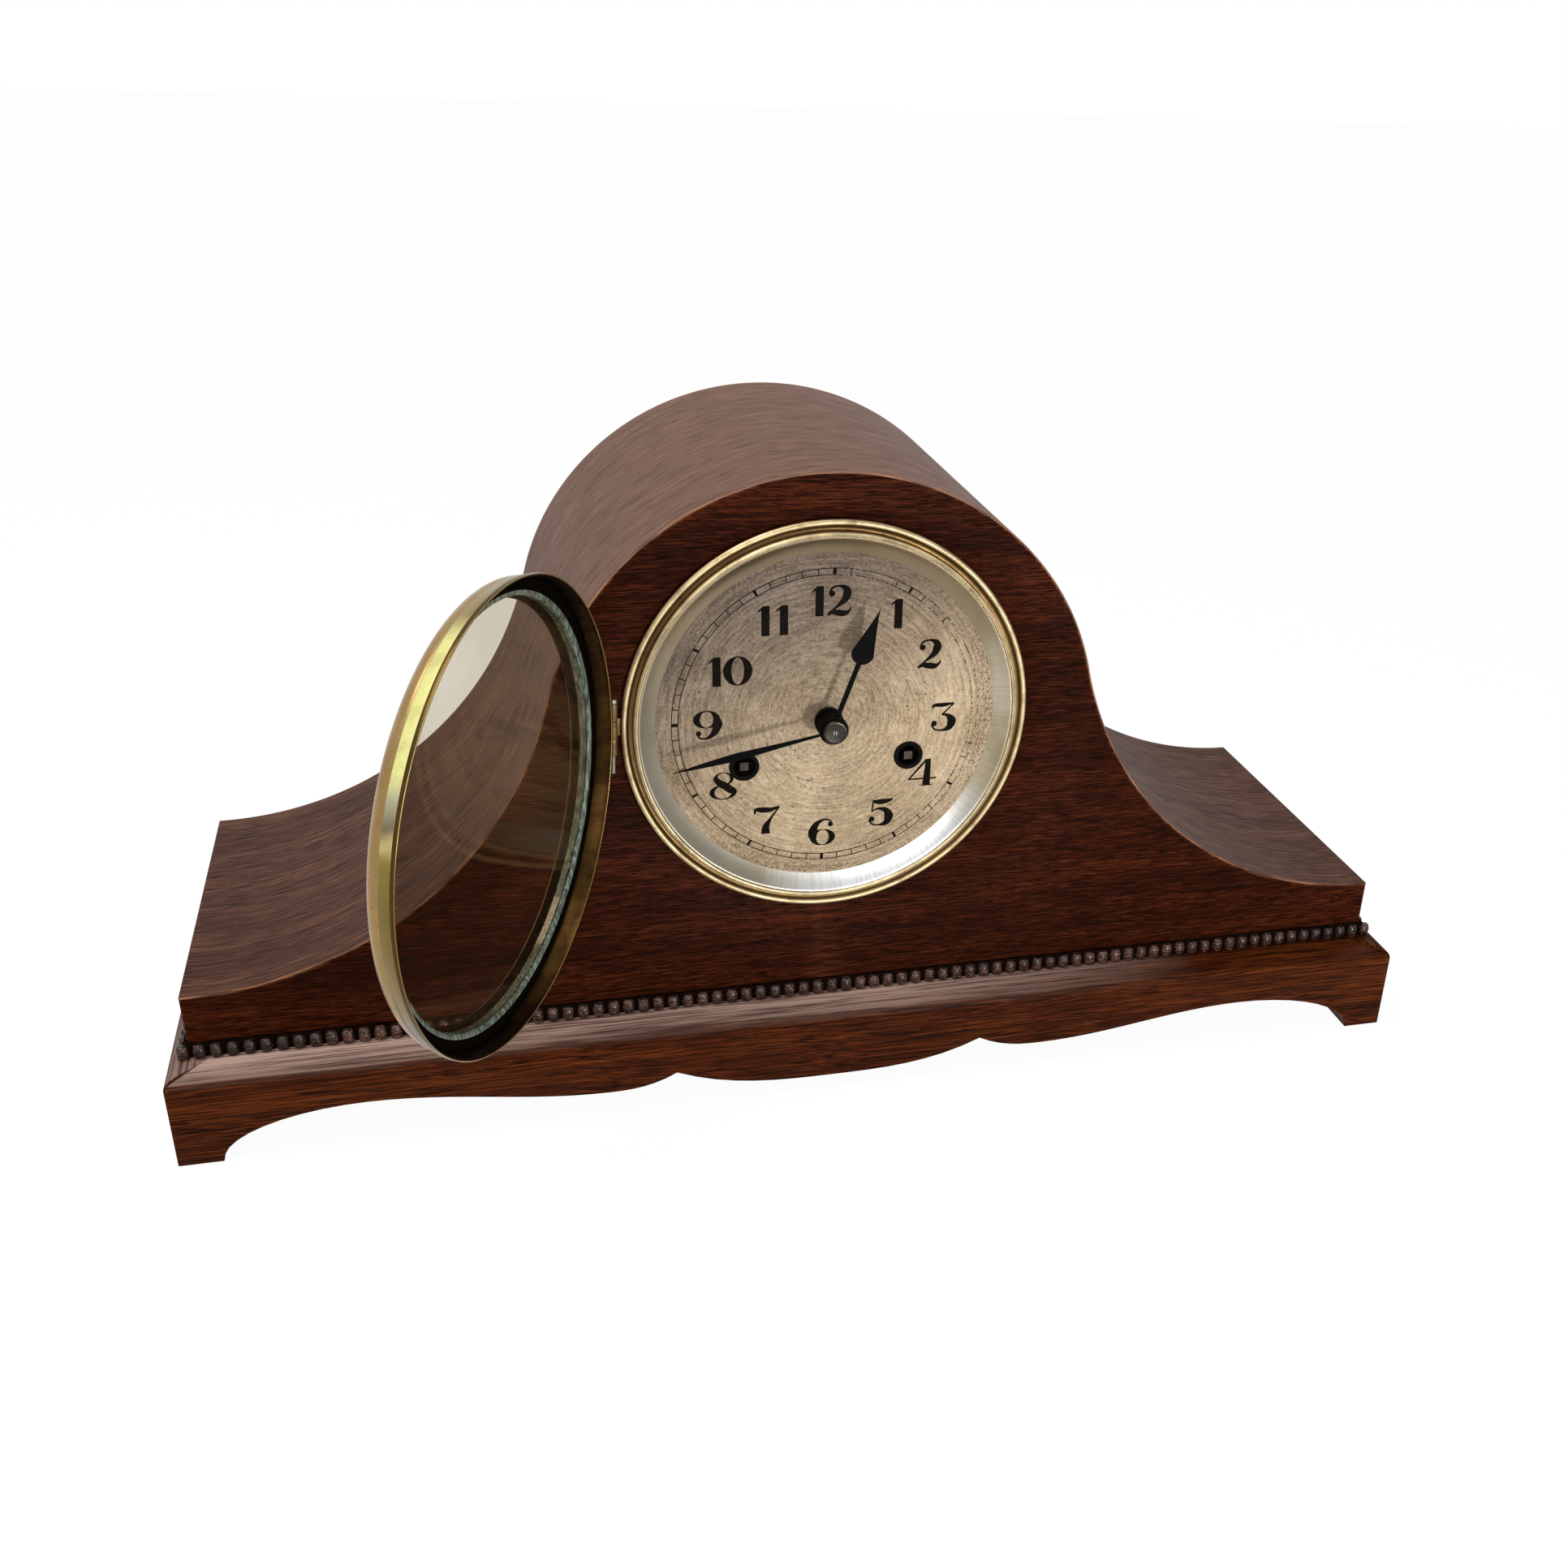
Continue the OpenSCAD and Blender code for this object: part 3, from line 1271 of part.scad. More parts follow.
module pendulum_rod() {
    axis_z = dial_z + anchor_at[1];
    color("#a8a6a0") placed() union() {
        translate([-2, pendulum_y - suspend_t / 2, axis_z - 8]) cube([4, suspend_t, 7.7]);
        translate([-2.6, pendulum_y - 1.2, axis_z - 11]) cube([5.2, 2.4, 4]);
        translate([0, pendulum_y,
            axis_z - pendulum_l - bob_r - 8]) cylinder(h = pendulum_l + bob_r - 1, r = rod_r,
            $fn = small_fn);
    }
}

module pendulum_bob() {
    axis_z = dial_z + anchor_at[1] - pendulum_l;
    color("#c09840") placed() difference() {
        translate([0, pendulum_y, axis_z]) rotate([90, 0, 0]) rotate_extrude($fn = round_fn)
            polygon([[0, -bob_t / 2], [bob_r * 0.7, -bob_t / 2 + 0.6], [bob_r, -1], [bob_r, 1],
                [bob_r * 0.7, bob_t / 2 - 0.6], [0, bob_t / 2]]);
        translate([0, pendulum_y, axis_z - bob_r - 1]) cylinder(h = 2 * bob_r + 2, r = rod_r + fit_clear,
            $fn = small_fn);
    }
}

module rating_nut() {
    nut_z = dial_z + anchor_at[1] - pendulum_l - bob_r - 4;
    color("#c09840") placed() difference() {
        translate([0, pendulum_y, nut_z]) cylinder(h = 3.6, r = 4, $fn = small_fn);
        translate([0, pendulum_y, nut_z - 1]) cylinder(h = 6, r = rod_r + run_clear, $fn = small_fn);
    }
}

gong_base = plinth_h + base_t;

module gong_block() {
    block_x = 20;
    block_y = (gong_n - 1) * gong_pitch + 16;
    color("#3c3a38") placed() difference() {
        translate([gong_block_x - block_x / 2, gong_y - 8, gong_base]) cube([block_x, block_y,
            gong_z - gong_base + 6]);
        for (i = [0 : gong_n - 1]) translate([gong_block_x - block_x, gong_y + i * gong_pitch, gong_z])
            rotate([0, 90, 0]) cylinder(h = 2 * block_x, r = gong_r + fit_clear, $fn = small_fn);
    }
}

module gong_rods() {
    step = 8;
    color("#a88848") placed() for (i = [0 : gong_n - 1])
        translate([gong_block_x + 8 - gong_l + i * step, gong_y + i * gong_pitch, gong_z]) rotate([0,
            90, 0])
            cylinder(h = gong_l - i * step, r = gong_r, $fn = small_fn);
}

back_hinge_x = back_open_r + 0.2;
back_hinge_y = case_d + back_knuckle_r + 0.1;
back_hinge_z = [76, 116];
back_knuckle_l = 7;
back_pin_r = 0.7;

// Lower half of a back hinge on side s: the panel's knuckle at the bottom, the door's on top of it
module back_knuckle(z, up) {
    translate([back_hinge_x, back_hinge_y, z + (up ? back_knuckle_l + 0.1 : 0)])
        cylinder(h = back_knuckle_l, r = back_knuckle_r, $fn = small_fn);
}

module back_door() {
    color("#5a2e20") placed() difference() {
        union() {
            slab(case_d - back_door_t, case_d) back_arch(back_clear);
            for (z = back_hinge_z) union() {
                back_knuckle(z, true);
                translate([back_hinge_x - 14, case_d - 0.5, z + back_knuckle_l + 0.1]) cube([14, 1.3,
                    back_knuckle_l]);
            }
        }
        for (z = back_hinge_z) translate([back_hinge_x, back_hinge_y, z - 1])
            cylinder(h = 2 * back_knuckle_l + 3, r = back_pin_r + run_clear, $fn = small_fn);
        for (z = back_hinge_z) translate([back_hinge_x - 0.6, case_d - back_door_t - 1, z - 0.2])
            cube([4, back_door_t + 1, 2 * back_knuckle_l + 0.6]);
    }
}

module back_door_hinges() {
    color("#8a6a2c") placed() for (z = back_hinge_z) union() {
        back_knuckle(z, false);
        translate([back_hinge_x, case_d, z]) cube([11, 1, back_knuckle_l]);
        translate([back_hinge_x, back_hinge_y, z]) cylinder(h = 2 * back_knuckle_l + 0.6, r = back_pin_r,
            $fn = small_fn);
    }
}

module turn_button() {
    button_w = 8;
    button_t = 3;
    color("#8a6a2c") placed() union() {
        translate([button_x - button_w / 2, case_d + 0.1, button_z - button_l / 2 + button_w / 2])
            cube([button_w, button_t, button_l - button_w]);
        for (s = [-1, 1]) translate([button_x, case_d + 0.1, button_z + s * (button_l - button_w) / 2])
            rotate([-90, 0, 0]) cylinder(h = button_t, r = button_w / 2, $fn = small_fn);
        translate([button_x, case_d - 4.8, button_z]) rotate([-90, 0, 0]) cylinder(h = 5, r = screw_r,
            $fn = small_fn);
    }
}

front_panel();
back_panel();
top_skin();
end_boards();
base_board();
plinth_front_rail();
plinth_side_rails();
plinth_back_rail();
glue_blocks();
bead_front();
bead_sides();
bezel_flange();
reflector_ring();
dial_plate();
winding_grommets();
hinge_case_leaf();
hinge_pin();
hinge_door_leaf();
door_ring();
door_glass();
glass_bedding();
hour_hand();
hour_wheel();
minute_hand();
hand_nut();
cannon_pinion();
centre_arbor();
minute_wheel();
second_wheel();
third_wheel();
fourth_wheel();
escape_wheel();
anchor();
going_barrel();
strike_barrel();
going_arbor();
strike_arbor();
going_click();
strike_click();
strike_second_wheel();
strike_pin_wheel();
strike_fourth_wheel();
warning_wheel();
fly();
hammer();
movement_front_plate();
movement_back_plate();
pillars();
pillar_nuts();
movement_straps();
strap_screws();
back_cock();
pendulum_rod();
pendulum_bob();
rating_nut();
gong_block();
gong_rods();
back_door();
back_door_hinges();
turn_button();
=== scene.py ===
import json
import random
from math import asin, atan2, cos, degrees, dist, hypot, pi, radians, sin, sqrt

import bmesh
import bpy
from mathutils import Matrix, Vector


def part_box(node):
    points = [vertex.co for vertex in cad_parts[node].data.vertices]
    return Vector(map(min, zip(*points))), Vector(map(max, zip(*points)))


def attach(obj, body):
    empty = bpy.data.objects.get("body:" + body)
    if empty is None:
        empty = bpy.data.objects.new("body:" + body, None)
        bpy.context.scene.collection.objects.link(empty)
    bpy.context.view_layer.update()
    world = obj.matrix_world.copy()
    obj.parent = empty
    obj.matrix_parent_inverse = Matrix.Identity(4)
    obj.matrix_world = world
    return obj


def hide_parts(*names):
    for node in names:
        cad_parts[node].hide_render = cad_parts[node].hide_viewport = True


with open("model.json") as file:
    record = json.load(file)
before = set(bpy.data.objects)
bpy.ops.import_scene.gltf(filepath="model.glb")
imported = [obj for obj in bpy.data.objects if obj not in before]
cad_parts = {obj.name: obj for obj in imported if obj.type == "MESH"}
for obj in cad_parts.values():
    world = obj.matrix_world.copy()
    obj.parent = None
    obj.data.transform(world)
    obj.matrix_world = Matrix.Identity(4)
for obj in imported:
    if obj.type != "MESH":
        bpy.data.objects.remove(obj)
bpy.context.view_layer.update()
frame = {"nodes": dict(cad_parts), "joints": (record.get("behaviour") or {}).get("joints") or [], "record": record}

# Places in metres, worked out from the frame
MM = 0.001
FRONT_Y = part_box("front_panel")[0].y
BACK_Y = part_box("back_panel")[1].y
CASE_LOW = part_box("front_panel")[0].z
CASE_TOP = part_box("front_panel")[1].z
HALF_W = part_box("front_panel")[1].x
DIAL_Z = (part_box("dial_plate")[0].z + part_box("dial_plate")[1].z) / 2
DIAL = Vector((0, FRONT_Y, DIAL_Z))
BEAD_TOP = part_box("bead_front")[1].z
# Height below which the plinth's slope has lost its painted sheen
SHEEN_LOW = CASE_LOW - 2.2 * MM

# Sizes in millimetres; heights count forward from the case's front
CASE_D = (BACK_Y - FRONT_Y) / MM
ARCH_R = 98
ARCH_Z = CASE_TOP / MM - ARCH_R
SHOULDER_Z = 57.5
PANEL_T = 9
SKIN_T = 6
VENEER_T = 0.55
# Hair's breadth that keeps two finished surfaces apart
HAIR = 0.02
DIAL_FACE = -1.0

# Angles in degrees: the hands, clockwise from twelve, and the turn of the printed track
MINUTE_ANGLE = 258.3
HOUR_ANGLE = 20.3
DIAL_TURN = 1.6

# Steps round a turned piece
FINE_STEPS = 256
ROUND_STEPS = 192
SMALL_STEPS = 72


# Mesh helpers
def add_object(name, data):
    made = bpy.data.objects.new(name, data)
    bpy.context.scene.collection.objects.link(made)
    return made


def mesh_from(name, bm):
    mesh = bpy.data.meshes.new(name)
    bm.to_mesh(mesh)
    bm.free()
    return mesh


def make_object(name, bm, material, body, replaces, sharp):
    """A finished piece from a bmesh: normals, shading, material, body and replaced CAD nodes."""
    bmesh.ops.remove_doubles(bm, verts=bm.verts, dist=1e-7)
    bmesh.ops.recalc_face_normals(bm, faces=bm.faces)
    mesh = mesh_from(name, bm)
    piece = add_object(name, mesh)
    for polygon in mesh.polygons:
        polygon.use_smooth = True
    mesh.set_sharp_from_angle(angle=radians(sharp))
    mesh.materials.append(material)
    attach(piece, body)
    if replaces:
        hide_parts(*replaces)
    return piece


def at_dial(x, h, z):
    """A point in millimetres from the dial's centre, h in front of the case front."""
    return Vector((x * MM, FRONT_Y - h * MM, DIAL_Z + z * MM))


def turns(steps):
    """Angles of the steps round a full turn."""
    return [2 * pi * k / steps for k in range(steps)]


def join_rings(bm, rings):
    """Faces between rings of vertices, any of which may be a single point."""
    for a, b in zip(rings, rings[1:]):
        steps = max(len(a), len(b))
        for k in range(steps):
            after = (k + 1) % steps
            quad = (a[k % len(a)], a[after % len(a)], b[after % len(b)], b[k % len(b)])
            corners = list(dict.fromkeys(quad))
            if len(corners) > 2:
                bm.faces.new(corners)


def join_lines(bm, lines):
    """A closed bar from equal open lines of vertices."""
    for a, b in zip(lines, lines[1:] + lines[:1]):
        for k in range(len(a) - 1):
            bm.faces.new((a[k], a[k + 1], b[k + 1], b[k]))
    for end in (0, -1):
        bm.faces.new([line[end] for line in lines])


def lathe(bm, profile, steps, centre=(0, 0), closed=True, matrix=None):
    """Turns a profile of (radius, height in front of the case, tone) points about an axis along Y."""
    rings = []
    layer = bm.verts.layers.float.get("tone") or bm.verts.layers.float.new("tone")
    side = bm.verts.layers.float_vector.get("side") or bm.verts.layers.float_vector.new("side")
    for r, h, *tone in profile:
        ring = [bm.verts.new(at_dial(centre[0] + r * cos(a), h, centre[1] + r * sin(a)))
                for a in (turns(steps) if r else [0.0])]
        for v, a in zip(ring, turns(steps)):
            v[layer] = tone[0] if tone else 0.0
            v[side] = (cos(a), 0, sin(a))
        rings.append(ring)
    join_rings(bm, rings + rings[:1] if closed else rings)
    if matrix is not None:
        bmesh.ops.transform(bm, matrix=matrix, verts=[v for ring in rings for v in ring])


def turned(name, profile, material, body, replaces, steps=ROUND_STEPS, closed=True, matrix=None, sharp=35):
    bm = bmesh.new()
    lathe(bm, profile, steps, (0, 0), closed, matrix)
    make_object(name, bm, material, body, replaces, sharp)


def arc(cx, cy, r, start, end, count):
    """Points on an arc, angles in degrees."""
    angles = [radians(start + (end - start) * k / count) for k in range(count + 1)]
    return [(cx + r * cos(a), cy + r * sin(a)) for a in angles]


def dress(node, material, bevel):
    """A copy of a CAD node with its sharp edges rounded, which stands for the node."""
    bm = bmesh.new()
    bm.from_mesh(frame["nodes"][node].data)
    bmesh.ops.remove_doubles(bm, verts=bm.verts, dist=2e-6)
    bmesh.ops.dissolve_limit(bm, angle_limit=radians(0.5), verts=bm.verts, edges=bm.edges)
    edges = [e for e in bm.edges if len(e.link_faces) == 2 and e.calc_face_angle(0) > radians(40)]
    bmesh.ops.bevel(bm, geom=edges, offset=bevel * MM, segments=2, profile=0.6, affect="EDGES",
                    clamp_overlap=True)
    make_object(node + "_finished", bm, material, body_of_node(node), (node,), 30)


def body_of_node(node):
    for body, nodes in frame["record"]["behaviour"]["bodies"].items():
        if node in nodes:
            return body


# Material helpers
class Nodes:
    """A node tree with short calls for its nodes."""

    def __init__(self, tree):
        self.tree = tree
        tree.nodes.clear()

    def node(self, kind, inputs=None, **settings):
        made = self.tree.nodes.new("ShaderNode" + kind)
        for key, value in settings.items():
            setattr(made, key, value)
        for key, value in (inputs or {}).items():
            if isinstance(value, bpy.types.NodeSocket):
                self.tree.links.new(value, made.inputs[key])
            else:
                made.inputs[key].default_value = value
        return made

    def math(self, operation, a, b=0.0, clamp=False):
        return self.node("Math", {0: a, 1: b}, operation=operation, use_clamp=clamp).outputs[0]

    def times(self, a, b, clamp=False):
        return self.math("MULTIPLY", a, b, clamp)

    def plus(self, a, b, clamp=False):
        return self.math("ADD", a, b, clamp)

    def parts(self, vector):
        return self.node("SeparateXYZ", {0: vector}).outputs

    def combined(self, x, y, z=0.0):
        return self.node("CombineXYZ", {0: x, 1: y, 2: z}).outputs[0]

    def mix(self, fac, a, b):
        return self.node("Mix", {0: fac, 6: a, 7: b}, data_type="RGBA").outputs[2]

    def blend(self, fac, a, b):
        """A mix of two shaders."""
        return self.node("MixShader", {0: fac, 1: a.outputs[0], 2: b.outputs[0]})

    def ramp(self, fac, stops):
        made = self.node("ValToRGB", {0: fac})
        elements = made.color_ramp.elements
        while len(elements) < len(stops):
            elements.new(0.5)
        for element, (place, colour) in zip(elements, stops):
            element.position = place
            element.color = (*colour[:3], 1)
        return made.outputs[0]

    def step(self, fac, low, high):
        """Zero below low, one above high."""
        return self.node("MapRange", {0: fac, 1: low, 2: high, 3: 0.0, 4: 1.0}).outputs[0]

    def place(self):
        return self.node("TexCoord").outputs["Object"]

    def attribute(self, name, kind="Fac"):
        return self.node("Attribute", attribute_name=name).outputs[kind]

    def noise(self, vector, scale, detail, rough=0.55, distortion=0.0, offset=(0, 0, 0)):
        """Noise with one scale, or with a scale along each axis."""
        if isinstance(scale, tuple):
            vector, scale = self.node("Mapping", {0: vector, 1: offset, 3: scale}).outputs[0], 1.0
        return self.node("TexNoise", {"Vector": vector, "Scale": scale, "Detail": detail, "Roughness": rough,
                                      "Distortion": distortion}).outputs[0]

    def bump(self, height, strength, distance):
        return self.node("Bump", {"Height": height, "Strength": strength, "Distance": distance}).outputs[0]

    def seen_rays(self):
        """One for rays from the camera and rays mirrored or let through by the object, else zero."""
        path = self.node("LightPath").outputs
        seen = self.plus(path["Is Camera Ray"], path["Is Glossy Ray"])
        return self.plus(seen, path["Is Transmission Ray"], True)


class Shader(Nodes):
    """A new material's node tree."""

    def __init__(self, name):
        self.material = bpy.data.materials.new(name)
        self.material.use_nodes = True
        super().__init__(self.material.node_tree)

    def finish(self, shader):
        self.node("OutputMaterial", {0: shader.outputs[0]})
        return self.material

    def principled(self, colour, rough, normal=None, spec=0.5, metallic=0.0):
        inputs = {"Base Color": colour, "Roughness": rough, "Specular IOR Level": spec, "Metallic": metallic}
        if normal is not None:
            inputs["Normal"] = normal
        return self.finish(self.node("BsdfPrincipled", inputs))


def rgb(*values):
    """A colour from its sRGB values of 0 to 255."""
    def linear(v):
        v = v / 255
        return v / 12.92 if v <= 0.04045 else ((v + 0.055) / 1.055) ** 2.4
    return tuple(linear(v) for v in values) + (1.0,)


def wood(name, dark, mid, light, pore, along_y=False, along=1.0, rough=0.4, pore_cut=0.54, use_grain=False,
         wear=None, spec=0.02, figure=1.0, high=None, streaks=0.4, gloss=None, sheen=None):
    """Wood with streaks and short pores that run along the grain."""
    s = Shader(name)
    place = s.attribute("grain", "Vector") if use_grain else s.place()
    if along_y:
        place = s.node("Mapping", {0: place, 2: (0, 0, pi / 2)}).outputs[0]
    warp = s.times(s.noise(place, (6, 14, 14), 2.0), 0.006 * figure)
    bent = s.node("VectorMath", {0: place, 1: s.combined(0.0, warp, warp)}, operation="ADD").outputs[0]
    broad = s.noise(bent, (7 * along, 70, 70), 3.0, 0.6)
    streak = s.noise(bent, (55 * along, 1350, 1350), 4.0, 0.65)
    fine = s.noise(bent, (180 * along, 2900, 2900), 3.0, 0.65)
    dash = s.noise(bent, (150 * along, 2400, 2400), 2.0, 0.5, offset=(3, 7, 5))
    tone = s.plus(s.times(broad, 0.25), s.times(streak, streaks))
    tone = s.plus(tone, s.times(fine, 0.75 - streaks))
    pores = s.step(dash, pore_cut, pore_cut + 0.06)
    colour = s.mix(s.times(pores, 0.85), s.ramp(tone, [(0.4, dark), (0.5, mid), (0.6, light)]), pore)
    # Painted sheen: the colour is lightened by height towards the top, standing in for light from above
    if high:
        low_z, high_z, share, painted_sheen_colour = high
        height = s.parts(s.place())[2]
        painted_top_sheen = s.times(s.step(height, low_z, high_z), s.math("SUBTRACT", share, s.times(pores, 0.3)))
        colour = s.mix(painted_top_sheen, colour, painted_sheen_colour)
    if wear:
        worn = s.attribute("wear")
        patchy = s.step(s.noise(place, (50, 500, 500), 4.0), 0.45, 0.62)
        colour = s.mix(s.times(worn, s.plus(s.times(patchy, 0.75), 0.03), True), colour, wear)
    normal = s.bump(s.math("SUBTRACT", s.times(fine, 0.5), pores), 0.3, 0.0001)
    rough = s.plus(rough, s.times(s.plus(pores, streak), 0.1))
    if gloss:
        lane = s.noise(place, (9, 160, 160), 4.0, 0.6)
        rough = s.plus(rough, s.times(s.step(lane, 0.42, 0.62), gloss))
    # Painted sheen on the plinth's slope
    if sheen:
        colour, spec = slope_sheen(s, place, colour, sheen, spec)
    return s.principled(colour, rough, normal, spec)


def slope_sheen(s, place, colour, sheen, spec):
    """Painted sheen: pale streaks of painted reflection on the upper part of the plinth's slope, which fade out to
    the right.
    """
    slope = s.step(s.parts(s.node("TexCoord").outputs["Normal"])[2], 0.15, 0.5)
    at = s.parts(s.place())
    left = s.times(slope, s.step(at[0], 0.15, 0.03))
    upper = s.plus(s.times(s.step(at[2], SHEEN_LOW, CASE_LOW), 0.95), 0.05)
    lit = s.times(left, upper)
    lane = s.step(s.noise(place, (22, 900, 900), 4.0, 0.65), 0.4, 0.56)
    painted_sheen_mask = s.times(lit, s.plus(s.times(lane, 0.75), 0.15))
    return s.mix(painted_sheen_mask, colour, sheen), s.plus(s.times(lit, 0.22), spec)


def metal(name, colour, stain, rough, stained, scale, grime=None, painted_wall_light=None):
    """Metal with cloudy tarnish, spots and fine scratches, in one colour or in a list of them by tone."""
    s = Shader(name)
    place = s.place()
    if isinstance(colour, list):
        tone = s.attribute("tone")
        colour = s.ramp(tone, [(k / (len(colour) - 1), c) for k, c in enumerate(colour)])
    # Painted reflection and shade: colours by the angle round the leaning wall, laid on the tone band that marks
    # it
    if painted_wall_light:
        side = s.parts(s.attribute("side", "Vector"))
        turn = s.times(s.math("ARCTAN2", side[2], side[0]), 1 / pi)
        wobble = s.times(s.math("SUBTRACT", s.noise(place, 45.0, 2.0), 0.5), 0.05)
        wall = s.ramp(s.plus(s.times(s.plus(turn, wobble), 0.5), 0.5),
                      [((a / 180 + 1) / 2, rgb(*c)) for a, c in painted_wall_light])
        on_wall = s.times(s.step(tone, 0.22, 0.32), s.step(tone, 0.5, 0.4))
        colour = s.mix(on_wall, colour, wall)
    cloud = s.noise(place, scale, 6.0, 0.65, 0.4)
    spots = s.step(s.noise(place, scale * 9, 3.0, 0.6), 0.63, 0.72)
    scratch = s.noise(place, (500, 3000, 3000), 3.0)
    fac = s.times(s.step(cloud, 0.45, 0.7), stained)
    base = s.mix(s.times(spots, 0.35), s.mix(fac, colour, stain), grime or stain)
    rough = s.plus(rough, s.times(s.plus(fac, scratch), 0.16))
    normal = s.bump(s.plus(scratch, s.times(cloud, 2.0)), 0.08, 0.00008)
    return s.principled(base, rough, normal, metallic=1.0)


def polar(s):
    """Radius in metres and angle in radians about the dial's axis, and the place from the dial's centre."""
    local = s.node("VectorMath", {0: s.place(), 1: DIAL}, operation="SUBTRACT").outputs[0]
    at = s.parts(local)
    radius = s.math("SQRT", s.plus(s.times(at[0], at[0]), s.times(at[2], at[2])))
    return radius, s.math("ARCTAN2", at[2], at[0]), local


def round_noise(s, radius, angle, across, around, detail):
    """Noise drawn out round the dial's axis or along its rays."""
    return s.noise(s.combined(s.times(radius, across), s.times(angle, around)), 1.0, detail, 0.6)


def dial_silver():
    """Silvered dial with ring brushing, specks and a stippled dark rim, greyer at the upper left as painted shade.
    """
    s = Shader("dial_silver")
    radius, angle, local = polar(s)
    fine = round_noise(s, radius, angle, 2600.0, 7.0, 3.0)
    wide = round_noise(s, radius, angle, 900.0, 3.0, 3.0)
    brushed = s.plus(s.times(fine, 0.5), s.times(wide, 0.5))
    grit = s.noise(local, 1500.0, 3.0, 0.6)
    cloud = s.noise(local, 38.0, 5.0, 0.6, 0.5)
    tone = s.plus(s.plus(s.times(brushed, 0.5), s.times(grit, 0.25)), s.times(cloud, 0.25))
    warm = s.ramp(tone, [(0.4, rgb(122, 104, 80)), (0.5, rgb(168, 149, 122)), (0.6, rgb(200, 182, 156))])
    # Painted shade: a greyer copy of the dial's tones, blended in towards the upper left
    grey = s.ramp(tone, [(0.4, rgb(72, 62, 54)), (0.5, rgb(110, 96, 85)), (0.6, rgb(144, 130, 116))])
    along = s.node("VectorMath", {0: local, 1: (4.0, 0.0, -9.0)}, operation="DOT_PRODUCT")
    base = s.mix(s.step(along.outputs["Value"], -0.42, 0.12), grey, warm)
    speck_area = s.step(s.noise(local, 60.0, 3.0), 0.4, 0.66)
    specks = s.step(s.noise(local, 820.0, 3.0, 0.6), 0.6, 0.68)
    specks = s.times(specks, s.plus(s.times(speck_area, 0.7), 0.15))
    rim_dots = s.step(s.noise(local, 1100.0, 2.0, 0.6), 0.46, 0.58)
    rim_patch = s.step(s.noise(local, 30.0, 2.0), 0.35, 0.6)
    rim = s.times(s.step(radius, 0.0505, 0.0600), rim_dots)
    rim = s.times(rim, s.plus(s.times(rim_patch, 0.6), 0.3))
    colour = s.mix(specks, base, rgb(66, 52, 38))
    colour = s.mix(s.times(rim, 0.85, True), colour, rgb(74, 62, 50))
    rough = s.plus(0.55, s.times(cloud, 0.16))
    normal = s.bump(s.plus(brushed, s.times(specks, -0.6)), 0.16, 0.00006)
    return s.principled(colour, rough, normal, 0.1, 0.3)


def reflector_silver():
    """Silvered ring with fine radial streaks, with painted reflection and shade by the angle round it: beige at
    the top, white at the lower right, grey at the lower left.
    """
    s = Shader("reflector_silver")
    radius, angle, local = polar(s)
    streak = round_noise(s, radius, angle, 60.0, 90.0, 4.0)
    cloud = s.noise(local, 26.0, 4.0, 0.6, 0.4)
    base = s.ramp(cloud, [(0.35, rgb(140, 124, 98)), (0.55, rgb(162, 148, 122)), (0.7, rgb(184, 174, 152))])

    def towards(turn, low, high):
        return s.step(s.math("COSINE", s.math("SUBTRACT", angle, radians(turn))), low, high)

    # Painted reflection and shade: the colour is set by the angle round the ring
    base = s.mix(towards(90, 0.2, 0.9), base, rgb(134, 116, 90))
    base = s.mix(s.times(towards(215, 0.3, 0.95), 0.8), base, rgb(124, 120, 110))
    base = s.mix(towards(-68, 0.72, 0.97), base, rgb(212, 215, 216))
    colour = s.mix(s.times(s.step(streak, 0.47, 0.7), 0.45), base, rgb(134, 126, 108))
    return s.principled(colour, 0.3, s.bump(streak, 0.12, 0.00006), metallic=1.0)


def ink(name, colour, fade):
    """Printed dial ink with small worn spots."""
    s = Shader(name)
    place = s.place()
    worn = s.times(s.step(s.noise(place, 1100.0, 4.0, 0.65), 0.62, 0.72), fade)
    paler = tuple(min(1, v * 1.6 + 0.002) for v in colour[:3])
    tone = s.ramp(s.noise(place, 220.0, 3.0), [(0.3, colour), (0.7, paler)])
    return s.principled(s.mix(worn, tone, rgb(110, 94, 74)), 0.6, spec=0.01)


def black_paint(name, colour, rough, spec):
    """Blued or painted black metal with faint dust."""
    s = Shader(name)
    place = s.place()
    dust = s.step(s.noise(place, 1500.0, 3.0, 0.6), 0.62, 0.75)
    cloud = s.noise(place, 120.0, 4.0)
    tone = s.mix(s.times(cloud, 0.5), colour, tuple(v * 0.5 for v in colour[:3]) + (1,))
    colour = s.mix(s.times(dust, 0.1), tone, rgb(60, 56, 50))
    return s.principled(colour, s.plus(rough, s.times(cloud, 0.15)), s.bump(cloud, 0.05, 0.0001), spec)


def clear_glass():
    """Clear glass: mostly see-through, with a faint warm reflection and a film of dust."""
    s = Shader("clear_glass")
    smear = s.noise(s.place(), 35.0, 3.0, 0.6, 0.8)
    mirror = s.node("BsdfGlossy", {"Color": (1.0, 0.74, 0.5, 1), "Roughness": 0.04,
                                   "Normal": s.bump(smear, 0.03, 0.001)})
    haze = s.step(s.noise(s.place(), 22.0, 3.0, 0.6, 0.6), 0.3, 0.75)
    tint = s.ramp(haze, [(0.0, (0.8, 0.77, 0.7)), (1.0, (0.88, 0.85, 0.79))])
    through = s.node("BsdfTransparent", {0: tint})
    film = s.node("BsdfDiffuse", {0: rgb(190, 162, 132)})
    return s.finish(s.blend(0.006, s.blend(0.045, through, mirror), film))


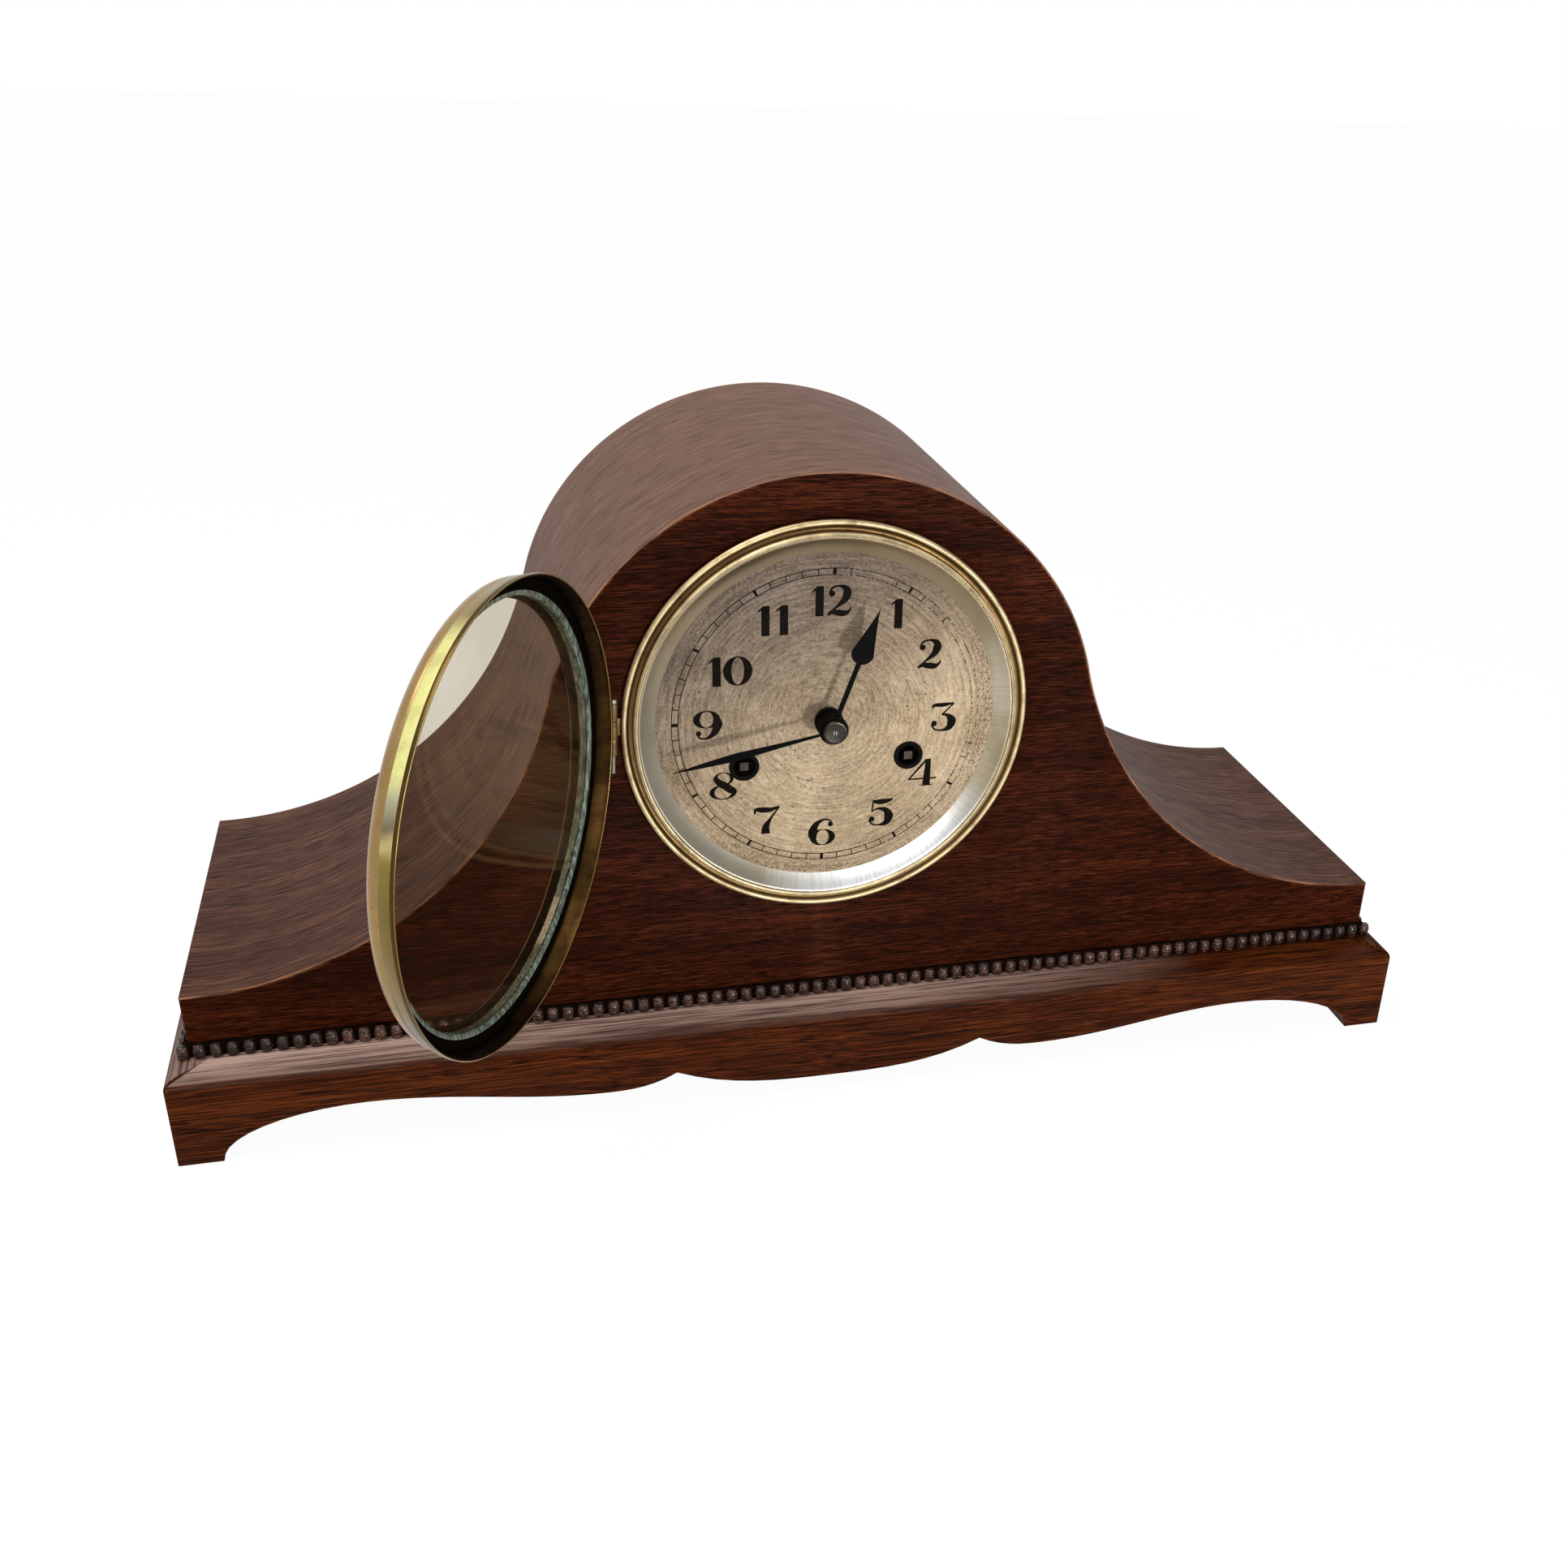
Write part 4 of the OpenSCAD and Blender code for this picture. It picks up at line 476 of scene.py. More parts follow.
def putty():
    """Old greenish putty and glass edge with streaks round the ring."""
    s = Shader("putty_green")
    place = s.place()
    streak = s.noise(place, (900, 900, 120), 4.0, 0.65)
    patch = s.noise(place, 90.0, 3.0)
    base = s.ramp(streak, [(0.36, rgb(34, 38, 33)), (0.5, rgb(84, 96, 86)), (0.66, rgb(138, 152, 138))])
    colour = s.mix(s.times(s.step(patch, 0.5, 0.7), 0.5), base, rgb(86, 78, 54))
    return s.principled(colour, 0.3, s.bump(streak, 0.2, 0.0002), 0.3)


FRONT_TONES = (rgb(24, 7, 1), rgb(47, 15, 5), rgb(80, 36, 15), rgb(14, 4, 1))
PLINTH_TONES = (rgb(34, 12, 3), rgb(68, 29, 10), rgb(104, 51, 20), rgb(18, 7, 2))
MAHOGANY = wood("mahogany", *FRONT_TONES)
# The top veneer is drawn lighter and greyer than the front as painted light from above, and lighter still towards
# the arch's top as painted sheen
MAHOGANY_CURVE = wood("mahogany_curve", rgb(60, 34, 24), rgb(92, 58, 44), rgb(124, 86, 68), rgb(42, 23, 16),
                      use_grain=True, wear=rgb(180, 128, 92), rough=0.45, pore_cut=0.5, spec=0.08,
                      high=(0.10, 0.19, 0.6, rgb(138, 106, 90)), along=0.5)
PANEL_WOOD = wood("panel_wood", *FRONT_TONES, use_grain=True, wear=rgb(140, 84, 56))
BACK_WOOD = wood("back_wood", rgb(46, 23, 15), rgb(66, 36, 24), rgb(86, 50, 35), rgb(28, 13, 8), rough=0.55)
PLINTH_GRAIN = dict(along=0.35, figure=2.5, streaks=0.5, spec=0.03, gloss=0.2)
# The sheen colours of the plinth's rails are painted reflection on their slopes
PLINTH_WOOD = wood("plinth_wood", *PLINTH_TONES, rough=0.26, sheen=rgb(222, 188, 174), **PLINTH_GRAIN)
PLINTH_SIDE_WOOD = wood("plinth_side_wood", *PLINTH_TONES, along_y=True, rough=0.3,
                        sheen=rgb(150, 122, 112), **PLINTH_GRAIN)
RAW_WOOD = wood("raw_wood", rgb(140, 96, 58), rgb(172, 124, 80), rgb(196, 150, 104), rgb(110, 72, 42),
                rough=0.7)
BEAD_WOOD = wood("bead_wood", rgb(10, 5, 4), rgb(34, 18, 13), rgb(126, 86, 70), rgb(6, 3, 3), along=3.0,
                 rough=0.15, spec=0.35)
# Near-black strips behind the beads: painted shade in the gaps between them
BEAD_PAINTED_SHADE = wood("bead_painted_shade", rgb(8, 4, 3), rgb(14, 7, 5), rgb(24, 13, 9), rgb(5, 2, 2), rough=0.7)
FLANGE_BRASS = metal("flange_brass",
                     [rgb(190, 170, 132), rgb(108, 86, 54), rgb(210, 194, 156), rgb(84, 66, 40)],
                     rgb(88, 64, 36), 0.3, 0.65, 120.0, rgb(56, 40, 24))
# Painted reflection and shade on the door's leaning wall: its colours by the angle round it, from the right
# anticlockwise
DOOR_WALL_PAINTED_LIGHT = ((-180, (96, 76, 36)), (-110, (120, 92, 44)), (-70, (190, 150, 86)), (-50, (132, 100, 50)),
             (-36, (74, 54, 24)), (-24, (130, 104, 50)), (0, (120, 104, 50)), (12, (140, 124, 64)),
             (16, (214, 192, 130)), (20, (116, 108, 84)), (26, (182, 178, 146)), (31, (242, 238, 156)),
             (62, (238, 232, 150)), (72, (146, 122, 58)), (96, (140, 118, 62)), (130, (70, 50, 24)),
             (180, (96, 76, 36)))
# Tones by band: lip, leaning wall, outer back wall and inner face; the dark back wall and inner face are painted
# shade
DOOR_BRASS = metal("door_brass", [rgb(158, 130, 84), rgb(168, 146, 74), rgb(70, 52, 24), rgb(46, 29, 14)],
                   rgb(110, 84, 42), 0.2, 0.3, 90.0, rgb(66, 46, 24), DOOR_WALL_PAINTED_LIGHT)
HINGE_BRASS = metal("hinge_brass", rgb(112, 90, 60), rgb(70, 52, 32), 0.35, 0.8, 300.0, rgb(44, 30, 16))
MOVEMENT_BRASS = metal("movement_brass", rgb(196, 160, 86), rgb(140, 108, 56), 0.32, 0.5, 110.0)
STEEL = metal("steel", rgb(150, 148, 142), rgb(96, 88, 76), 0.3, 0.5, 240.0)
GUNMETAL = metal("gunmetal", rgb(52, 50, 46), rgb(22, 20, 18), 0.2, 0.7, 420.0)
WINDING_STEEL = metal("winding_steel", rgb(60, 56, 50), rgb(30, 26, 21), 0.35, 0.7, 420.0)
DARK_IRON = metal("dark_iron", rgb(70, 66, 62), rgb(44, 38, 34), 0.55, 0.6, 260.0)
SILVER = dial_silver()
REFLECTOR = reflector_silver()
INK = ink("dial_ink", rgb(15, 12, 10), 0.12)
TRACK_INK = ink("track_ink", rgb(20, 15, 11), 0.15)
HAND_BLACK = black_paint("hand_black", rgb(12, 11, 11), 0.4, 0.02)
GROMMET_BLACK = black_paint("grommet_black", rgb(8, 8, 7), 0.4, 0.04)
# The bedding's near-black is painted shade in the channel behind the pane's edge
BEDDING_PAINTED_SHADE = black_paint("bedding_painted_shade", rgb(12, 9, 6), 0.8, 0.0)
CLEAR_GLASS = clear_glass()
EDGE_GLASS = putty()


# Case
SHOULDER_RISE = SHOULDER_Z - ARCH_Z
HALF_MM = HALF_W / MM
SWEEP_R = (HALF_MM ** 2 + SHOULDER_RISE ** 2 - ARCH_R ** 2) / (2 * (ARCH_R - SHOULDER_RISE))
SWEEP_Z = SHOULDER_Z + SWEEP_R
TANGENT = degrees(atan2(SWEEP_Z - ARCH_Z, HALF_MM))


def top_line(inset, end_inset=0.0):
    """The case's top from right to left in millimetres, the same number of points at any inset."""
    r = SWEEP_R + inset
    end = degrees(asin(end_inset / r))
    right = arc(HALF_MM, SWEEP_Z, r, 270 - end, 180 + TANGENT, 60)
    middle = arc(0, ARCH_Z, ARCH_R - inset, TANGENT, 180 - TANGENT, 150)[1:-1]
    left = arc(-HALF_MM, SWEEP_Z, r, -TANGENT, -90 + end, 60)
    return right + middle + left


def line_lengths(points):
    total = [0.0]
    for a, b in zip(points, points[1:]):
        total.append(total[-1] + dist(a, b))
    return total


def grained_mesh():
    bm = bmesh.new()
    bm.verts.layers.float_vector.new("grain")
    bm.verts.layers.float.new("wear")
    return bm


def grained(bm, place, grain, wear):
    """A vertex with its place in the grain and its wear."""
    v = bm.verts.new(place)
    v[bm.verts.layers.float_vector["grain"]] = grain
    v[bm.verts.layers.float["wear"]] = wear
    return v


def top_skin():
    """Bent top veneer over the skin, from the front edge to the back edge."""
    bm = grained_mesh()
    run = line_lengths(top_line(0))
    across = [(VENEER_T, HAIR, 0.8), (0.12, HAIR, 1.0), (0.0, 0.16, 0.9)]
    across += [(0.0, 0.3, 0.5), (0.0, 0.8, 0.12), (0.0, 1.6, 0.0), (0.0, 3.0, 0.0)]
    across += [(0.0, CASE_D * k / 24, 0.0) for k in range(1, 24)]
    across += [(0.0, CASE_D - 0.8, 0.3), (0.0, CASE_D - 0.16, 0.8), (0.12, CASE_D - HAIR, 1.0),
               (VENEER_T, CASE_D - HAIR, 1.0), (VENEER_T, CASE_D - PANEL_T - HAIR, 0.0),
               (SKIN_T, CASE_D - PANEL_T - HAIR, 0.0), (SKIN_T, PANEL_T + HAIR, 0.0),
               (VENEER_T, PANEL_T + HAIR, 0.0)]
    loops = []
    for inset, y, worn in across:
        loops.append([grained(bm, (x * MM, FRONT_Y + y * MM, z * MM),
                              (length * MM, y * MM + 0.3, inset * MM), worn)
                      for (x, z), length in zip(top_line(inset, 0.03), run)])
    join_lines(bm, loops)
    make_object("top_veneer", bm, MAHOGANY_CURVE, "case", ("top_skin",), 30)


def panel_outline(inset):
    """Closed outline of the front or back panel under the veneer."""
    line = top_line(VENEER_T + inset, inset + 0.03)
    right, left = HALF_MM - inset - 0.03, -HALF_MM + inset + 0.03
    low = CASE_LOW / MM
    side = [low + (SHOULDER_Z - VENEER_T - inset - low) * k / 3 for k in range(3)]
    base = [(left + (right - left) * k / 40, low) for k in range(1, 40)]
    return line + [(left, z) for z in reversed(side)] + base + [(right, z) for z in side]


def fill_between(bm, outer, holes):
    """Fills the face between an outline and holes."""
    edges = []
    for ring in [outer] + holes:
        for a, b in zip(ring, ring[1:] + ring[:1]):
            edges.append(bm.edges.get((a, b)) or bm.edges.new((a, b)))
    bmesh.ops.triangle_fill(bm, edges=edges, use_beauty=True, use_dissolve=False)


def panel(name, material, node, face_y, inward, rim, hole):
    """A veneered panel from (inset, depth, wear) rows of its rim and (points, depth) rows of its opening."""
    bm = grained_mesh()

    def ring(points, y, wear):
        return [grained(bm, (x * MM, face_y + inward * y * MM, z * MM), (x * MM, z * MM, y * MM), wear)
                for x, z in points]

    rims = [ring(panel_outline(inset), y, wear) for inset, y, wear in rim]
    join_rings(bm, rims)
    holes = [ring(points, y, 0) for points, y in hole]
    join_rings(bm, holes)
    fill_between(bm, rims[-1], [holes[0]])
    fill_between(bm, rims[0], [holes[-1]])
    make_object(name, bm, material, "case", (node,), 40)


def panels():
    """Front with a rounded rim and the stepped dial hole, and back with its arched opening."""
    dial_hole = [(arc(0, DIAL_Z / MM, r, 0, 357.5, 143), y) for r, y in
                 ((62.8, 0.0), (62.4, 0.3), (62.4, 1.84), (56, 1.84), (56, PANEL_T))]
    panel("front_veneer", PANEL_WOOD, "front_panel", FRONT_Y, 1,
          ((0, PANEL_T, 0), (0, 0.5, 0.6), (0.12, 0.14, 0.8), (0.4, 0, 0.3), (0.9, 0, 0), (3.0, 0, 0)),
          dial_hole)
    low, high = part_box("back_door")
    open_r = high.x / MM + 0.3
    bottom = low.z / MM - 0.5
    arch = arc(0, ARCH_Z, open_r, 0, 180, 90) + [(-open_r, bottom), (open_r, bottom)]
    panel("back_board", BACK_WOOD, "back_panel", BACK_Y, -1,
          ((0, PANEL_T, 0), (0, 0.4, 0.4), (0.12, 0.1, 0.6), (0.4, 0, 0.3), (1.5, 0, 0)),
          [(arch, 0), (arch, PANEL_T)])


# Bead moulding
def bead_profile():
    """Radius and height of one bead in millimetres, with fine turned grooves."""
    points = [(0.0, 0.02)]
    height = 5.4
    for k in range(33):
        t = k / 32
        r = 0.9 + 1.03 * sin(pi * t) ** 0.42
        r -= 0.07 * (0.5 - 0.5 * cos(2 * pi * 6 * t)) * sin(pi * t)
        points.append((r, 0.02 + (height - 0.04) * t))
    points.append((0.0, height))
    return points


def bead(bm, x, y, z, turn, scale, wide):
    """One bead standing at a point in metres, widened along its row."""
    rings = []
    for r, h in bead_profile():
        rings.append([bm.verts.new((x + r * scale * wide[0] * MM * cos(a + turn),
                                    y + r * scale * wide[1] * MM * sin(a + turn), z + h * MM))
                      for a in (turns(BEAD_SIDES) if r else [0.0])])
    join_rings(bm, rings)


def bead_row(name, node, starts, backing, wide):
    """A row of beads and the strips behind it, given by their low and high corners."""
    bm = bmesh.new()
    rng = random.Random(name)
    for x, y, z in starts:
        bead(bm, x, y, z, rng.random() * pi, 0.97 + 0.03 * rng.random(), wide)
    make_object(name, bm, BEAD_WOOD, "case", (node,), 50)
    # The strips behind the beads are near-black as painted shade in the gaps
    bm = bmesh.new()
    for low, high in backing:
        made = bmesh.ops.create_cube(bm, size=1)
        bmesh.ops.scale(bm, vec=high - low, verts=made["verts"])
        bmesh.ops.translate(bm, vec=(high + low) / 2, verts=made["verts"])
    bmesh.ops.bevel(bm, geom=list(bm.edges), offset=0.15 * MM, segments=2, profile=0.6, affect="EDGES")
    make_object(name + "_backing", bm, BEAD_PAINTED_SHADE, "case", (node,), 40)


# Beads: faces round each; axis in front of the case, radius, spacing and back strip in metres; widening
BEAD_SIDES = 20
BEAD_AXIS = 1.65 * MM
BEAD_REACH = 1.95 * MM
BEAD_RUN = 2 * HALF_W + 2 * BEAD_AXIS
BEAD_COUNT = round(BEAD_RUN / (5.39 * MM))
BEAD_STEP = BEAD_RUN / BEAD_COUNT
BEAD_BACK = 1.2 * MM
BEAD_WIDE = 1.16


def bead_moulding():
    y = FRONT_Y - BEAD_AXIS
    front = [(-HALF_W - BEAD_AXIS + i * BEAD_STEP, y, CASE_LOW) for i in range(BEAD_COUNT + 1)]
    side_count = int((BACK_Y - FRONT_Y + BEAD_AXIS - BEAD_REACH) / BEAD_STEP)
    sides = [(s * (HALF_W + BEAD_AXIS), y + i * BEAD_STEP, CASE_LOW)
             for s in (-1, 1) for i in range(1, side_count + 1)]
    hair = HAIR * MM
    inner, outer = HALF_W, HALF_W + BEAD_BACK
    bead_row("front_beads", "bead_front", front,
             [(Vector((-outer, FRONT_Y - BEAD_BACK, CASE_LOW)), Vector((outer, FRONT_Y - hair, BEAD_TOP)))],
             (BEAD_WIDE, 1))
    bead_row("side_beads", "bead_sides", sides,
             [(Vector((-outer, FRONT_Y, CASE_LOW)), Vector((-inner - hair, BACK_Y, BEAD_TOP))),
              (Vector((inner + hair, FRONT_Y, CASE_LOW)), Vector((outer, BACK_Y, BEAD_TOP)))],
             (1, BEAD_WIDE))


# Dial and bezel
def bezel():
    """Brass flange, drawn as points of radius, height and tone, and the slanted reflector inside it."""
    flange = [(63.72, HAIR, 0.33), (70.3, HAIR, 0)]
    flange += arc(70.3, 1.1, 1.08, -90, 150, 16)
    flange += [(69.1, 0.95, 0.33), (68.6, 0.62, 0.33), (68.0, 0.5, 0.33), (67.55, 0.54, 0.33),
               (67.38, 0.85, 1.0), (67.33, 1.4, 1.0), (67.3, 2.2, 0.66), (67.12, 2.5, 0.66)]
    flange += [(r, h, 0.66) for r, h in arc(66.5, 2.5, 0.78, 20, 80, 5)]
    flange += [(66.5, 3.12, 1.0)] + [(r, h, 0.66) for r, h in arc(66.5, 2.5, 0.78, 100, 180, 6)]
    flange += [(65.7, 2.3, 0.66), (65.7, 0.5, 1.0), (63.72, 0.45, 0.33)]
    turned("bezel_brass", flange, FLANGE_BRASS, "case", ("bezel_flange",), FINE_STEPS, sharp=50)
    seat_r, seat_h, bulge = 59.65, -0.94, 0.2
    cone = [(seat_r, seat_h)]
    for k in range(1, 11):
        t = k / 10
        out = bulge * sin(pi * t)
        cone.append((seat_r + 5.6 * t + out, seat_h + 3.42 * t - out))
    cone += [(65.63, 2.48), (65.63, 2.05), (60.4, seat_h)]
    turned("reflector", cone, REFLECTOR, "case", ("reflector_ring",), FINE_STEPS, sharp=50)


# Winding holes from the dial's centre
WIND_X = 29.4
WIND_Z = -15.6


def dial_plate():
    bm = bmesh.new()

    def ring(cx, cz, r, h, count):
        points = arc(0, 0, r, 0, 360 - 360 / count, count - 1)
        return [bm.verts.new(at_dial(cx + x, h, cz + z)) for x, z in points]

    faces = []
    for h in (DIAL_FACE, DIAL_FACE - 0.78):
        outer = ring(0, 0, 61.15, h, 180)
        holes = [ring(0, 0, 4.6, h, 60)] + [ring(x, WIND_Z, 4.9, h, 48) for x in (WIND_X, -WIND_X)]
        fill_between(bm, outer, holes)
        faces.append([outer] + holes)
    for a, b in zip(*faces):
        join_rings(bm, [a, b])
    make_object("dial_face", bm, SILVER, "case", ("dial_plate",), 40)


def grommets():
    profile = [(3.6, -2.55), (4.75, -2.55), (4.75, -1.02), (5.3, -0.99), (5.33, -0.85), (5.2, -0.62),
               (4.9, -0.5), (4.3, -0.52), (3.8, -0.7), (3.6, -1.0)]
    bm = bmesh.new()
    for x in (-WIND_X, WIND_X):
        lathe(bm, profile, SMALL_STEPS, (x, WIND_Z))
    make_object("winding_eyelets", bm, GROMMET_BLACK, "case", ("winding_grommets",), 45)


# Numerals one unit high by width and shapes: strokes of (x, y, width) points, rings, balls and polygons
GLYPHS = {
    "0": (0.95, [("ring", 0.475, 0.5, 0.475, 0.5, 0.27, 0.035)]),
    "1": (0.36, [
        ("poly", [(0.09, 0), (0.36, 0), (0.36, 1), (0.14, 1), (-0.03, 0.84), (-0.03, 0.79), (0.09, 0.86)])]),
    "2": (0.84, [
        ("ball", 0.19, 0.74, 0.1),
        ("stroke", [(0.1, 0.76, 0.03), (0.2, 0.93, 0.05), (0.42, 0.985, 0.05), (0.64, 0.9, 0.17),
                    (0.69, 0.73, 0.25), (0.6, 0.52, 0.19), (0.36, 0.3, 0.07), (0.08, 0.06, 0.04)]),
        ("stroke", [(0.05, 0.03, 0.05), (0.2, 0.12, 0.12), (0.42, 0.09, 0.18), (0.62, 0.07, 0.16),
                    (0.76, 0.14, 0.06), (0.82, 0.26, 0.03)])]),
    "3": (0.92, [
        ("stroke", [(0.1, 0.83, 0.03), (0.16, 0.94, 0.09), (0.45, 0.94, 0.12), (0.84, 0.985, 0.03)]),
        ("stroke", [(0.84, 0.98, 0.03), (0.44, 0.59, 0.04)]),
        ("stroke", [(0.42, 0.585, 0.03), (0.62, 0.56, 0.1), (0.78, 0.36, 0.27), (0.7, 0.11, 0.18),
                    (0.45, 0.02, 0.05), (0.2, 0.07, 0.04), (0.08, 0.24, 0.04)]),
        ("ball", 0.17, 0.28, 0.1)]),
    "4": (1.0, [
        ("poly", [(0.5, 0), (0.78, 0), (0.78, 1), (0.6, 1)]),
        ("stroke", [(0.63, 0.98, 0.06), (0.02, 0.27, 0.04)]),
        ("stroke", [(0.0, 0.27, 0.035), (1.0, 0.27, 0.035)]),
        ("poly", [(0.42, 0), (0.86, 0), (0.86, 0.03), (0.42, 0.03)])]),
    "5": (0.92, [
        ("stroke", [(0.2, 0.985, 0.03), (0.26, 0.92, 0.1), (0.5, 0.9, 0.17), (0.76, 0.93, 0.11),
                    (0.9, 0.99, 0.03)]),
        ("stroke", [(0.21, 0.96, 0.035), (0.17, 0.52, 0.035)]),
        ("stroke", [(0.17, 0.54, 0.03), (0.36, 0.64, 0.05), (0.64, 0.58, 0.16), (0.77, 0.34, 0.28),
                    (0.68, 0.1, 0.18), (0.44, 0.02, 0.05), (0.2, 0.06, 0.04), (0.07, 0.22, 0.04)]),
        ("ball", 0.17, 0.26, 0.1)]),
    "6": (0.95, [
        ("ring", 0.5, 0.31, 0.44, 0.31, 0.22, 0.03),
        ("stroke", [(0.84, 0.8, 0.03), (0.72, 0.95, 0.04), (0.5, 0.97, 0.06), (0.26, 0.8, 0.18),
                    (0.15, 0.52, 0.27), (0.17, 0.3, 0.22)]),
        ("ball", 0.77, 0.79, 0.09)]),
    "7": (0.88, [
        ("stroke", [(0.03, 0.76, 0.03), (0.07, 0.92, 0.1), (0.3, 0.9, 0.18), (0.6, 0.9, 0.13),
                    (0.88, 0.99, 0.04)]),
        ("stroke", [(0.87, 0.98, 0.035), (0.6, 0.6, 0.06), (0.42, 0.28, 0.2), (0.4, 0.0, 0.28)])]),
    "8": (0.95, [
        ("ring", 0.5, 0.76, 0.34, 0.235, 0.12, 0.03),
        ("ring", 0.48, 0.27, 0.46, 0.27, 0.17, 0.035),
        ("stroke", [(0.25, 0.8, 0.1), (0.34, 0.64, 0.2), (0.62, 0.44, 0.24), (0.8, 0.26, 0.16)])]),
}


def upside_down(shape, width):
    if shape[0] == "stroke":
        return "stroke", [(width - x, 1 - y, w) for x, y, w in shape[1]]
    return shape[0], width - shape[1], 1 - shape[2], *shape[3:]


GLYPHS["9"] = (0.95, [upside_down(shape, 0.95) for shape in GLYPHS["6"][1]])


def smooth_path(points):
    """Catmull-Rom curve through (x, y, width) points."""
    steps = 8
    padded = [points[0]] + points + [points[-1]]
    out = []
    for i in range(1, len(padded) - 2):
        p0, p1, p2, p3 = padded[i - 1:i + 3]
        for k in range(steps):
            t = k / steps
            out.append(tuple(0.5 * (2 * b + (c - a) * t + (2 * a - 5 * b + 4 * c - d) * t * t
                             + (3 * b - a - 3 * c + d) * t ** 3) for a, b, c, d in zip(p0, p1, p2, p3)))
    out.append(points[-1])
    return out


def stroke_outline(points):
    """Left and right edge of a stroke, drawn a little bolder than its points say."""
    points = [(x, y, 1.06 * w + 0.018) for x, y, w in points]
    path = smooth_path(points) if len(points) > 2 else points
    left, right = [], []
    for i, (x, y, w) in enumerate(path):
        a, b = path[max(0, i - 1)], path[min(len(path) - 1, i + 1)]
        length = hypot(b[0] - a[0], b[1] - a[1]) or 1
        nx, ny = -(b[1] - a[1]) / length, (b[0] - a[0]) / length
        left.append((x + nx * w / 2, y + ny * w / 2))
        right.append((x - nx * w / 2, y - ny * w / 2))
    return left, right


def raised(bm, lines, place, low, high):
    """A thin closed strip between two equal lines, from height low to high."""
    a, b = lines
    rows = [[bm.verts.new(place(x, y, h)) for x, y in line] for line, h in
            ((a, high), (b, high), (b, low), (a, low))]
    join_lines(bm, rows)


def draw_glyph(bm, shapes, place):
    for index, (kind, *values) in enumerate(shapes):
        low = DIAL_FACE - HAIR
        high = DIAL_FACE + 0.03 + 0.004 * index
        if kind == "ring":
            cx, cy, rx, ry, wx, wy = values
            turns = [2 * pi * k / 56 for k in range(57)]
            outer = [(cx + rx * cos(a), cy + ry * sin(a)) for a in turns]
            inner = [(cx + (rx - wx) * cos(a), cy + (ry - wy) * sin(a)) for a in turns]
            raised(bm, (outer, inner), place, low, high)
        elif kind == "ball":
            cx, cy, r = values
            turns = [pi * k / 16 for k in range(17)]
            halves = [[(cx + r * cos(a), cy + s * r * sin(a)) for a in turns] for s in (1, -1)]
            raised(bm, halves, place, low, high)
        elif kind == "stroke":
            raised(bm, stroke_outline(values[0]), place, low, high)
        else:
            top, bottom = [[bm.verts.new(place(x, y, h)) for x, y in values[0]] for h in (high, low)]
            join_rings(bm, [top, bottom])
            bm.faces.new(top)
            bm.faces.new(bottom)


# Height of the numerals, and gaps between figures as shares of it
NUMERAL_H = 10.45
NUMERAL_GAP = 0.08
ELEVEN_GAP = 0.24
# Middle of each numeral from the dial's centre in millimetres
NUMERALS = {"12": (0.8, 42.9), "1": (23.4, 37.2), "2": (35.4, 22.1), "3": (41.4, -1.8),
            "4": (35.0, -22.8), "5": (19.8, -37.3), "6": (-1.5, -43.5), "7": (-21.5, -37.0),
            "8": (-36.9, -22.4), "9": (-41.9, 0.9), "10": (-33.6, 19.8), "11": (-19.2, 36.9)}


def numerals():
    bm = bmesh.new()
    for text, (cx, cz) in NUMERALS.items():
        gap = ELEVEN_GAP if text == "11" else NUMERAL_GAP
        x = -(sum(GLYPHS[c][0] for c in text) + gap * (len(text) - 1)) / 2
        for c in text:
            start = x

            def place(u, v, h):
                return at_dial(cx + (start + u) * NUMERAL_H, h, cz + (v - 0.5) * NUMERAL_H)

            draw_glyph(bm, GLYPHS[c][1], place)
            x += GLYPHS[c][0] + gap
    piece = make_object("numerals", bm, INK, "case", (), 60)


# Minute track: outer and inner radius, half width of its lines and steps round it
TRACK_OUT = 54.2
TRACK_IN = 52.0
TRACK_LINE = 0.15
TRACK_STEPS = 720


def track_wear(angle):
    """Share of the track's print left at a clockwise angle in degrees."""
    if 36 < angle < 112:
        return 0.12
    if 112 <= angle < 138:
        return 0.45
    if 2 < angle < 30:
        return 0.55
    return 0.97


def minute_track():
    """Two worn circles and the minute marks between them, bolder every five and fifteen minutes."""
    bm = bmesh.new()
    rng = random.Random(7)

    def bar(r0, r1, a0, a1, high):
        lines = [[(r * sin(radians(a)), r * cos(radians(a))) for a in (a0, a1)]
                 for r in (r0, r1)]
        raised(bm, lines, lambda x, z, h: at_dial(x, h, z), DIAL_FACE - HAIR, high)

    for r in (TRACK_OUT, TRACK_IN):
        run = None
        for k in range(TRACK_STEPS + 1):
            angle = 360 * k / TRACK_STEPS
            keep = k < TRACK_STEPS and rng.random() < track_wear((angle - DIAL_TURN) % 360) ** 0.5
            if keep and run is None:
                run = angle
            if not keep and run is not None:
                span = angle - run
                count = max(1, round(span / 3))
                for i in range(count):
                    bar(r - TRACK_LINE, r + TRACK_LINE, run + span * i / count, run + span * (i + 1) / count,
                        DIAL_FACE + 0.02)
                run = None
    for minute in range(60):
        angle = 6 * minute
        if minute % 5 and rng.random() > track_wear(angle):
            continue
        if minute in (10, 15):
            continue
        half = 0.62 if minute % 15 == 0 else (0.48 if minute % 5 == 0 else 0.17)
        half_angle = degrees(half / TRACK_OUT)
        a = angle + DIAL_TURN
        bar(TRACK_IN, TRACK_OUT, a - half_angle, a + half_angle, DIAL_FACE + 0.026)
    piece = make_object("minute_track", bm, TRACK_INK, "case", (), 60)


